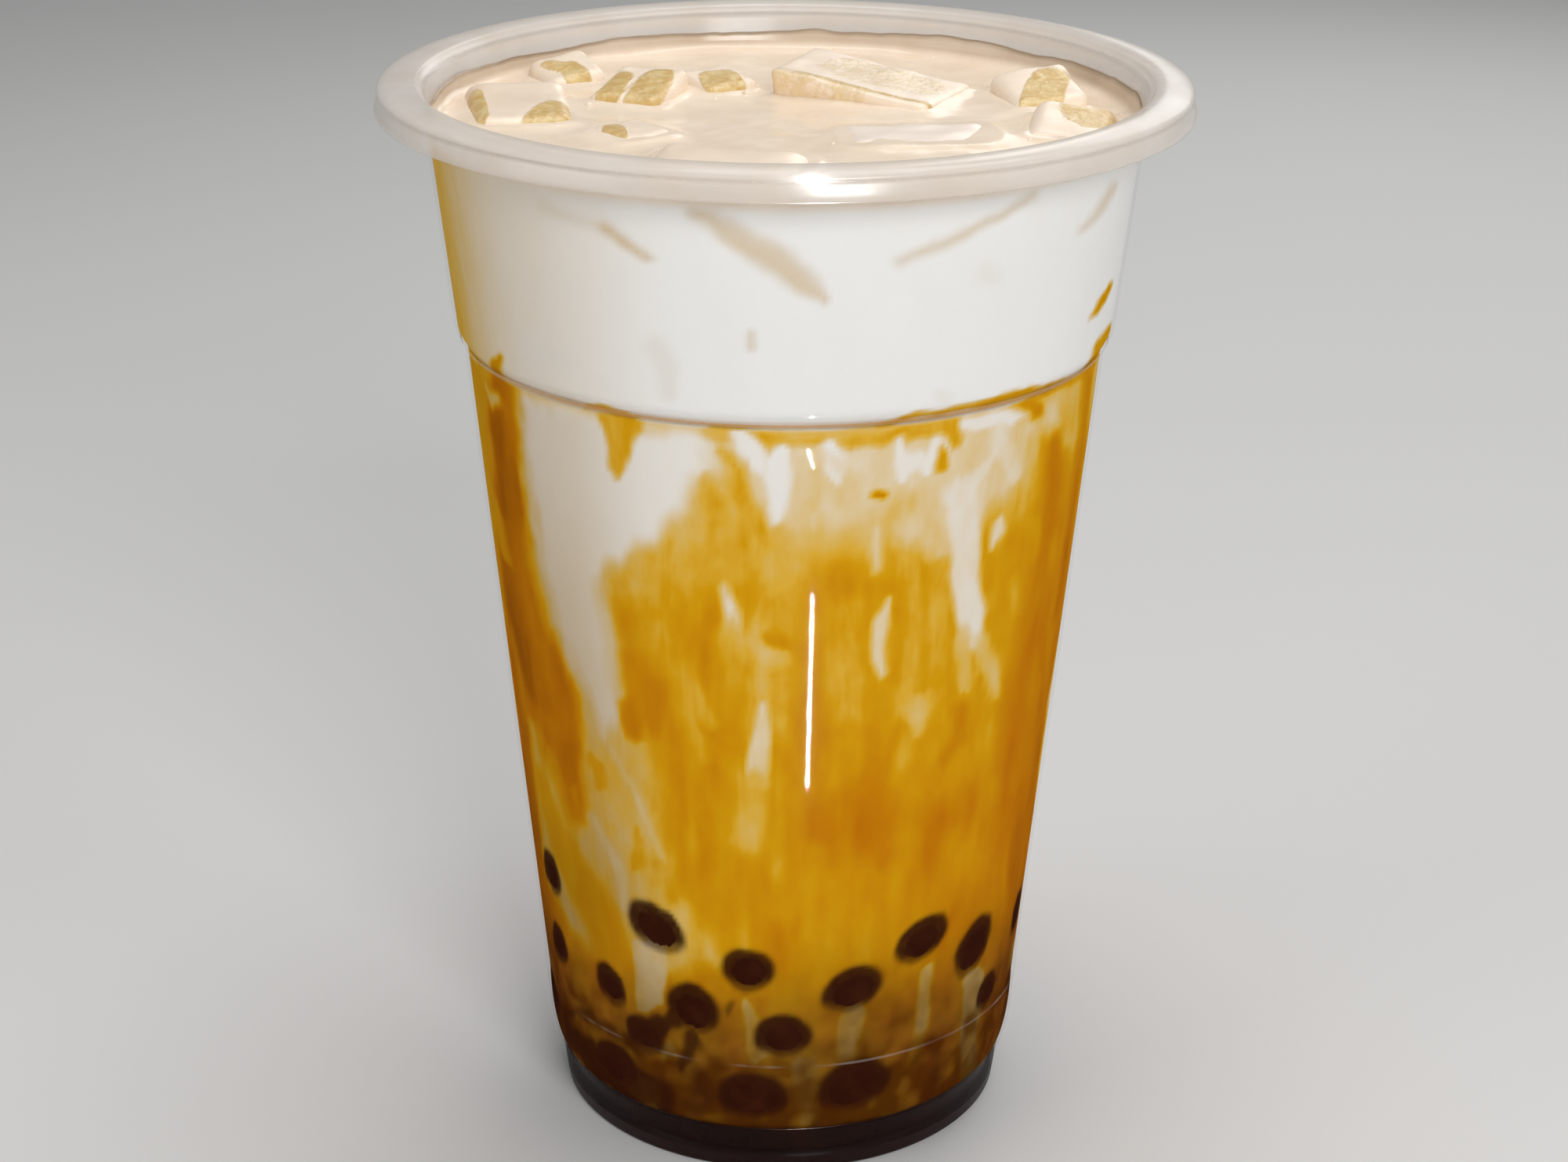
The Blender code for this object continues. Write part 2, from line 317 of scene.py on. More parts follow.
@dataclass(frozen=True)
class Drink:
    """Milk and brown sugar syrup, marbled by the amounts that the mesh carries."""

    stops: tuple = (
        (0.00, linear(238, 239, 239)),
        (0.14, linear(230, 222, 210)),
        (0.28, linear(224, 202, 162)),
        (0.42, linear(220, 184, 104)),
        (0.54, linear(220, 171, 52)),
        (0.62, linear(213, 155, 8)),
        (0.70, linear(207, 142, 4)),
        (0.84, linear(194, 116, 2)),
        (1.00, linear(158, 88, 2)),
    )
    cream: tuple = linear(246, 227, 204)
    cream_cloud: tuple = linear(238, 217, 192)
    # Colour the drink darkens towards: lower down, and as painted shade on the left side and on the film.
    shade: tuple = linear(112, 88, 50)
    dark: tuple = linear(50, 18, 6)
    # Grey tan veil: faint milk, the step line, a greying low down, and painted shade on the left side.
    haze_and_shade: tuple = linear(150, 116, 74)

    def material(self) -> Material:
        """Makes the material.

        Returns:
            A wet material whose colour follows the vertex amounts "syrup", "dim", "dark", "haze" and "cream".
        """
        shader = Shader("milk_tea")
        syrup = shader.attribute("syrup")
        flow = shader.noise(0.28, 3.2, 4.0, 0.55, 0.4) - 0.5
        cloud = shader.noise(0.11, 1.8, 3.0, 0.5, 0.6) - 0.5
        fine = shader.noise(1.6, 1.6, 2.0) - 0.5
        swing = syrup.fade(0.12, 0.55, 0.10, 1.0)
        amount = (syrup + (flow * 0.26 + cloud * 0.22 + fine * 0.05) * swing).clamped()
        colour = shader.node("ShaderNodeValToRGB", {"stops": self.stops}, {0: amount}).outputs[0]
        cream = shader.mix(shader.noise(0.16).fade(0.3, 0.7), self.cream, self.cream_cloud)
        colour = shader.mix(shader.attribute("cream"), colour, cream)
        # The haze and the dim also lay painted shade: on the left side, and on the film above the level.
        colour = shader.mix(shader.attribute("haze_and_shade"), colour, self.haze_and_shade)
        colour = shader.mix(shader.attribute("dim"), colour, self.shade, "MULTIPLY")
        stain = (shader.attribute("dark") * (1.0 + fine * 0.12)).clamped()
        colour = shader.mix(stain, colour, self.dark)
        relief = shader.noise(0.35)
        wet = shader.attribute("cream") * 0.7
        surface = shader.principled(Base_Color=colour, Roughness=0.45, Specular_IOR_Level=0.0,
                                    Coat_Weight=wet, Coat_Roughness=0.16, Normal=shader.bump(relief, 0.10))
        return shader.finish(surface)


@dataclass(frozen=True)
class Syrup:
    """Brown sugar syrup lying in the foot."""

    thick: tuple = linear(28, 9, 5)
    thin: tuple = linear(62, 26, 10)
    speck: tuple = linear(48, 26, 20)

    def material(self) -> Material:
        """Makes the material: nearly black, with reddish brown where it is thinner."""
        shader = Shader("syrup")
        share = shader.noise(0.12, 1, 4.0, 0.6, 0.5).fade(0.48, 0.75)
        grain = shader.noise(1.4)
        colour = shader.mix(share * 0.6, self.thick, self.thin)
        colour = shader.mix(grain.fade(0.35, 0.7) * 0.3, colour, self.speck)
        return shader.finish(shader.principled(Base_Color=colour, Roughness=0.22, Specular_IOR_Level=0.10,
                                               Normal=shader.bump(grain, 0.05)))


@dataclass(frozen=True)
class Tapioca:
    """Cooked tapioca, dark brown, slightly mottled and wet."""

    core: tuple = linear(50, 17, 6)
    edge: tuple = linear(68, 30, 12)
    speck: tuple = linear(34, 9, 4)

    def material(self) -> Material:
        """Makes the material: dark brown, a little lighter in patches, with darker specks."""
        shader = Shader("pearl")
        patches = shader.noise(0.35, 1, 4.0, 0.6)
        grain = shader.noise(2.2)
        colour = shader.mix(patches.fade(0.42, 0.75) * 0.7, self.core, self.edge)
        colour = shader.mix(grain.fade(0.35, 0.75) * 0.35, colour, self.speck)
        return shader.finish(shader.principled(Base_Color=colour, Roughness=0.35, Specular_IOR_Level=0.0,
                                               Normal=shader.bump(grain, 0.05)))


@dataclass(frozen=True)
class WetIce:
    """Ice under a film of milk, with bare yellowish windows where the film has run off."""

    film: tuple = linear(246, 227, 204)
    film_cloud: tuple = linear(239, 218, 194)
    frost: tuple = linear(246, 231, 216)
    bare: tuple = linear(224, 198, 142)
    deep: tuple = linear(206, 168, 98)

    def material(self) -> Material:
        """Makes the material.

        Returns:
            A glossy material that shows bare ice by the vertex amount "bare" and white film by "frost".
        """
        shader = Shader("ice")
        cracks = shader.noise(0.55, 1, 4.0, 0.6, 0.8)
        bare = shader.attribute("bare")
        ragged = shader.noise(1.3, 1, 3.0, 0.6) - 0.5
        edge = (bare + ((cracks - 0.5) * 0.7 + ragged * 0.5) * bare.fade(0.02, 0.3)).fade(0.22, 0.80)
        inside = shader.mix(cracks.fade(0.35, 0.68), self.deep, self.bare)
        film = shader.mix(shader.noise(0.16).fade(0.3, 0.7), self.film, self.film_cloud)
        film = shader.mix(shader.attribute("frost"), film, self.frost)
        colour = shader.mix(edge, film, inside)
        relief = shader.noise(0.3, detail=2.0) * 0.4 + shader.noise(1.1) * edge * 1.2
        surface = shader.principled(Base_Color=colour, Roughness=0.32, Normal=shader.bump(relief, 0.14))
        return shader.finish(surface)


@dataclass(frozen=True)
class Foam:
    """Thin skins of milk bubbles."""

    skin: tuple = linear(244, 228, 208)
    cloud: tuple = linear(226, 204, 178)

    def material(self) -> Material:
        """Makes the material: cream with a bright gloss, a little uneven in tone."""
        shader = Shader("bubble_skin")
        tone = shader.noise(0.8, detail=2.0).fade(0.35, 0.65)
        colour = shader.mix(tone, self.skin, self.cloud)
        return shader.finish(shader.principled(Base_Color=colour, Roughness=0.08))


@dataclass(frozen=True)
class PaleFloor:
    """Plain matt studio floor."""

    colour: tuple = linear(214, 213, 211)
    cloud: tuple = linear(208, 207, 206)

    def material(self) -> Material:
        """Makes the material, with a barely visible unevenness."""
        shader = Shader("floor")
        tone = shader.noise(0.004, detail=2.0).fade(0.3, 0.7)
        colour = shader.mix(tone * 0.25, self.colour, self.cloud)
        return shader.finish(shader.principled(Base_Color=colour, Roughness=0.8, Specular_IOR_Level=0.0))


def corner_weights(share: ndarray) -> Iterator[tuple[tuple, ndarray]]:
    """Gives each corner of a cell with its weight at places, by their shares of the cell's sides."""
    for corner in itertools.product((0, 1), repeat=3):
        yield corner, np.prod([share[:, k] if c else 1 - share[:, k] for k, c in enumerate(corner)], axis=0)


class Grain:
    """Smooth noise that is the same each time, from a small table of random values."""

    SIZE = 32

    def __init__(self, seed: int) -> None:
        """Draws the table."""
        self.table = np.random.default_rng(seed).random((self.SIZE,) * 3) * 2 - 1

    def at(self, points: ndarray) -> ndarray:
        """Reads the noise.

        Args:
            points: Places, one a row, where a cell of the noise is 1 across.

        Returns:
            Numbers between -1 and 1.
        """
        cell = np.floor(points).astype(int)
        share = points - cell
        total = np.zeros(len(points))
        for corner, weight in corner_weights(share * share * (3 - 2 * share)):
            index = (cell + corner) % self.SIZE
            total += weight * self.table[index[:, 0], index[:, 1], index[:, 2]]
        return total

    def layers(self, points: ndarray, count: int = 3) -> ndarray:
        """Adds finer layers of the noise, each half as strong."""
        return sum(self.at(points * 2**k + 7.3 * k) / 2**k for k in range(count))


def smooth(low: float, high: float, value: ndarray) -> ndarray:
    """Runs smoothly from 0 to 1 while the value goes from low to high."""
    share = np.clip((value - low) / (high - low), 0, 1)
    return share * share * (3 - 2 * share)


def on_cup(radius: ndarray, angle: ndarray, height: ndarray) -> ndarray:
    """Places at a radius, an angle from the front and a height, one a row."""
    turn = np.radians(angle)
    return np.stack([radius * np.sin(turn), -radius * np.cos(turn), height + 0 * turn], axis=-1)


def turned(x: ndarray, y: ndarray, degrees: float) -> tuple[ndarray, ndarray]:
    """Flat places as they are in axes that are turned by an angle."""
    c, s = math.cos(math.radians(degrees)), math.sin(math.radians(degrees))
    return x * c + y * s, -x * s + y * c


def linked(name: str, data: ID) -> Object:
    """Makes an object of its data and puts it in the scene."""
    made = bpy.data.objects.new(name, data)
    bpy.context.collection.objects.link(made)
    return made


def mesh_piece(name: str, places: ndarray, faces: list, material: Material,
               amounts: dict[str, ndarray] | None = None) -> Object:
    """Makes an object from places in millimetres.

    Args:
        name: The piece's name.
        places: Its vertices, one a row.
        faces: Indices of each face's vertices.
        material: Its finish.
        amounts: Numbers that the vertices carry, by name.

    Returns:
        The new object, smooth, with its place in its mesh.
    """
    mesh = bpy.data.meshes.new(name)
    mesh.from_pydata((places * MM).tolist(), [], faces)
    mesh.update()
    mesh.shade_smooth()
    mesh.materials.append(material)
    for key, numbers in (amounts or {}).items():
        mesh.attributes.new(key, "FLOAT", "POINT").data.foreach_set("value", numbers.astype(np.float32))
    return linked(name, mesh)


def ring_faces(rings: int, columns: int, start: int = 0) -> list:
    """Quads between closed rings of columns vertices each, facing outwards for rings that go up."""
    faces = []
    for ring in range(rings - 1):
        low = start + ring * columns
        high = low + columns
        faces += [(low + c, low + (c + 1) % columns, high + (c + 1) % columns, high + c)
                  for c in range(columns)]
    return faces


@dataclass
class CupShape:
    """The cup's profile, as the source has it."""

    wall: float = 0.8
    outside: tuple = ((28.7, 6.3), (30.4, 15.4), (30.52, 16.6), (38.42, 100.2), (39.46, 101.9),
                      (42.54, 129.4))
    foot_radius: float = 27.9
    floor_top: float = 2.2
    floor_fillet: float = 0.8
    shoulder_steps: int = 10

    def shoulder(self) -> list[tuple[float, float]]:
        """Points of the rounded shoulder, from the foot's top up."""
        (low_radius, low), (high_radius, high) = self.outside[:2]
        turns = np.linspace(0, math.pi / 2, self.shoulder_steps)
        return [(low_radius + (high_radius - low_radius) * math.sin(t),
                 low + (high - low) * (1 - math.cos(t))) for t in turns]

    def inner_points(self) -> list[tuple[float, float]]:
        """Points (radius, height) of the inside, bottom to top."""
        floor_radius = self.foot_radius - self.wall
        above = [*self.shoulder(), *self.outside[2:]]
        return [(floor_radius - self.floor_fillet, self.floor_top),
                (floor_radius - self.floor_fillet * 0.3, self.floor_top + self.floor_fillet * 0.3),
                (floor_radius, self.floor_top + self.floor_fillet),
                *[(radius - self.wall, height) for radius, height in above]]

    def inside_radius(self, height: ndarray) -> ndarray:
        """Radius of the cup's inside at a height."""
        radii, heights = zip(*self.inner_points())
        return np.interp(height, heights, radii)


CUP = CupShape()


@dataclass
class Cup:
    """The thin cup with its rolled rim, made anew with a rounder outline than the source's."""

    columns: int = 288
    recess: tuple = ((0.0, 1.3), (12.0, 1.3), (24.2, 1.3), (24.75, 1.1), (25.1, 0.2), (25.3, 0.0))
    rest: tuple = ((27.2, 0.0), (27.6, 0.12), (27.9, 0.5))
    bead: tuple = ((30.4, 15.4), (30.55, 15.7), (30.65, 16.0), (30.6, 16.35), (30.52, 16.6))
    step: tuple = ((38.42, 100.2), (38.62, 100.35), (39.2, 101.55), (39.42, 101.8), (39.48, 102.05))
    neck: tuple = (42.54, 129.4)
    under: tuple = ((43.1, 129.95), (43.5, 130.1), (45.9, 130.1), (46.35, 129.8), (46.5, 129.2),
                    (46.84, 127.75), (46.9, 127.6))
    lip: tuple = ((47.51, 127.6), (47.76, 127.68), (47.84, 127.97), (47.78, 128.35), (47.68, 128.75),
                  (47.57, 129.15), (47.44, 129.55), (47.38, 129.8), (47.44, 129.95))
    roll_radius: float = 47.5
    roll: float = 130.1
    crest_radius: float = 45.0
    top: float = 131.1
    mouth_radius: float = 42.9
    mouth: float = 130.6
    throat: tuple = ((42.5, 130.3), (42.2, 130.0))
    arc_steps: int = 9

    def profile(self) -> list[tuple[float, float]]:
        """Points of the whole closed profile, from the middle of the underside round to the floor."""
        quarter = np.linspace(0, math.pi / 2, self.arc_steps)
        roll = [(self.crest_radius + (self.roll_radius - self.crest_radius) * math.cos(t),
                 self.roll + (self.top - self.roll) * math.sin(t)) for t in quarter]
        mouth = [(self.crest_radius + (self.mouth_radius - self.crest_radius) * math.sin(t),
                  self.mouth + (self.top - self.mouth) * math.cos(t)) for t in quarter[1:]]
        wall = self._divided(self.bead[-1], self.step[0], 14)
        upper = self._divided(self.step[-1], self.neck, 6)
        inside = list(reversed(CUP.inner_points()))
        floor = ((12.0, CUP.floor_top), (0.0, CUP.floor_top))
        return [*self.recess, *self.rest, *CUP.shoulder()[:-1], *self.bead, *wall, *self.step, *upper,
                self.neck, *self.under, *self.lip, *roll, *mouth, *self.throat, *inside, *floor]

    @staticmethod
    def _divided(low: tuple, high: tuple, parts: int) -> list[tuple[float, float]]:
        """Points between two points of the profile, without the ends."""
        return [tuple(np.array(low) + (np.array(high) - low) * k / parts) for k in range(1, parts)]

    def build(self, material: Material) -> Object:
        """Makes the cup.

        Args:
            material: Its finish.

        Returns:
            The piece, closed, in place of the source's cup.
        """
        profile = np.array(self.profile())
        angles = np.arange(self.columns) * 360 / self.columns
        rings = np.concatenate([on_cup(radius, angles, height) for radius, height in profile[1:-1]])
        ends = np.array([[0, 0, profile[0][1]], [0, 0, profile[-1][1]]])
        count = len(profile) - 2
        faces = ring_faces(count, self.columns, 2)
        last = 2 + (count - 1) * self.columns
        for c in range(self.columns):
            after = (c + 1) % self.columns
            faces.append((0, 2 + after, 2 + c))
            faces.append((1, last + c, last + after))
        piece = mesh_piece("cup_wall", np.concatenate([ends, rings]), faces, material)
        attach(piece, "root")
        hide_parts("cup")
        return piece


@dataclass(frozen=True)
class Mark:
    """Milk or syrup against the wall. On the front its widths are as they show from the front."""

    amount: float
    strength: float
    softness: float
    points: tuple

    FRONT_END = 84
    LEAST_SQUEEZE = 0.3

    def cover(self, angle: ndarray, height: ndarray, radius: ndarray) -> ndarray:
        """Says how much of each place the mark covers.

        Args:
            angle: Angle of each place.
            height: Height of each place.
            radius: Radius of each place.

        Returns:
            Numbers from 0 to the mark's strength.
        """
        middle = sum(p[0] for p in self.points) / len(self.points)
        front = abs(middle) < self.FRONT_END
        squeeze = max(self.LEAST_SQUEEZE, math.cos(math.radians(middle))) if front else 1.0
        across = np.radians((angle - middle + 180) % 360 - 180) * radius * squeeze
        points = [(math.radians(a - middle) * float(CUP.inside_radius(z)) * squeeze, z, *width)
                  for a, z, *width in self.points]
        return smooth(-self.softness, self.softness, self._depth(across, height, points)) * self.strength

    def _depth(self, across: ndarray, height: ndarray, points: list) -> ndarray:
        """How deep inside the mark each place lies on the unrolled wall, negative outside it."""
        raise NotImplementedError

    @staticmethod
    def _from_line(across: ndarray, height: ndarray, first: tuple,
                   second: tuple) -> tuple[ndarray, ndarray]:
        """Distance of places from the line between two points, and how far along it they are nearest."""
        (x0, z0), (x1, z1) = first[:2], second[:2]
        length = (x1 - x0) ** 2 + (z1 - z0) ** 2
        share = np.clip(((across - x0) * (x1 - x0) + (height - z0) * (z1 - z0)) / length, 0, 1)
        return np.hypot(across - x0 - share * (x1 - x0), height - z0 - share * (z1 - z0)), share


class Streak(Mark):
    """A streak, drawn along points (angle, height, half width)."""

    def _depth(self, across: ndarray, height: ndarray, points: list) -> ndarray:
        """How deep inside the streak each place lies."""
        best = np.full(len(height), -np.inf)
        for first, second in zip(points, points[1:]):
            away, share = self._from_line(across, height, first, second)
            best = np.maximum(best, first[2] + (second[2] - first[2]) * share - away)
        return best


class Patch(Mark):
    """A wide area, bounded by corners (angle, height)."""

    def _depth(self, across: ndarray, height: ndarray, points: list) -> ndarray:
        """How deep inside the area each place lies."""
        nearest = np.full(len(height), np.inf)
        inside = np.zeros(len(height), bool)
        for first, second in zip(points, points[1:] + points[:1]):
            nearest = np.minimum(nearest, self._from_line(across, height, first, second)[0])
            (x0, z0), (x1, z1) = first, second
            if z0 != z1:
                crosses = (z0 > height) != (z1 > height)
                inside ^= crosses & (across < (x1 - x0) * (height - z0) / (z1 - z0) + x0)
        return np.where(inside, nearest, -nearest)


def streaks(*rows: tuple) -> tuple:
    """Makes streaks of rows: amount, strength and softness, then the points."""
    return tuple(Streak(amount, strength, softness, points) for amount, strength, softness, *points in rows)


MILK_ZONE = streaks(
    # Where the ice touches the wall.
    (0.26, 0.6, 1, (-38.2, 123.4, 0.5), (-28.1, 122.1, 0.5)),
    (0.39, 0.95, 0.8, (-27.9, 122, 0.4), (-24.3, 120.8, 0.6), (-20.9, 119.2, 0.3)),
    (0.3, 0.9, 1, (-13.4, 124.7, 0.5), (-7, 122.7, 1.2), (-1.2, 119.7, 1.6), (3.2, 117.2, 1.3),
     (5.5, 115.2, 0.4)),
    (0.38, 0.6, 0.9, (-12.6, 124.4, 0.2), (-5.9, 121.5, 0.25), (0.5, 118, 0.3), (5.4, 115, 0.3)),
    (0.3, 0.85, 0.9, (40, 124.6, 0.5), (32, 122.8, 0.7), (24, 121, 0.6), (17.6, 119.4, 0.4)),
    (0.3, 0.8, 0.9, (62.6, 122.3, 0.5), (59.1, 120.9, 0.8), (53.7, 119.6, 0.4)),
    # Faint clouds and spots.
    (0.14, 0.6, 1.6, (-43.7, 105.4, 1.8), (-38.3, 105.7, 1.4)),
    (0.16, 0.6, 1, (-20.7, 109.3, 1.2), (-18.9, 106.7, 1.2), (-18.9, 103.9, 1)),
    (0.34, 0.6, 0.5, (-5.2, 111.5, 0.4), (-5.2, 110.1, 0.5)),
    (0.12, 0.6, 1, (32.3, 116.5, 1), (34.4, 115.8, 0.8)),
    (0.12, 0.6, 0.8, (25.5, 103.5, 0.8), (27, 102.8, 0.8)),
    # Amber over the step at both sides.
    (0.74, 0.95, 0.45, (69.4, 109.3, 0.7), (66, 108.4, 0.8), (63, 107.2, 0.4)),
    (0.72, 0.95, 0.5, (77.5, 102.9, 0.6), (71.4, 102.4, 1.2), (72.6, 100, 1.2), (68.4, 99.6, 0.8)),
    (0.78, 0.9, 0.4, (-55, 103.4, 0.3), (-57.8, 100.8, 0.6), (-58.2, 99, 0.9)),
    (0.45, 0.7, 0.8, (-73.2, 102.1, 0.6), (-75.6, 98.7, 0.8), (-65.2, 99, 0.8)),
    # Amber just above the step.
    (0.68, 0.9, 0.35, (16.1, 100.5, 0.3), (21.3, 100.8, 0.5), (27, 100.9, 0.5), (34.8, 101, 0.6),
     (43.7, 101.1, 0.9), (54.4, 100.5, 0.7), (73.8, 98.7, 0.7)),
    (0.6, 0.8, 0.3, (-12.4, 99.8, 0.3), (-5.1, 99.8, 0.25), (1.4, 99.8, 0.3), (7.9, 100, 0.3),
     (16.2, 100.2, 0.4)),
    (0.7, 0.9, 0.3, (-35.6, 100.1, 0.2), (-31.9, 100.3, 0.5), (-27.3, 100.1, 0.5), (-24.6, 99.8, 0.3)),
)

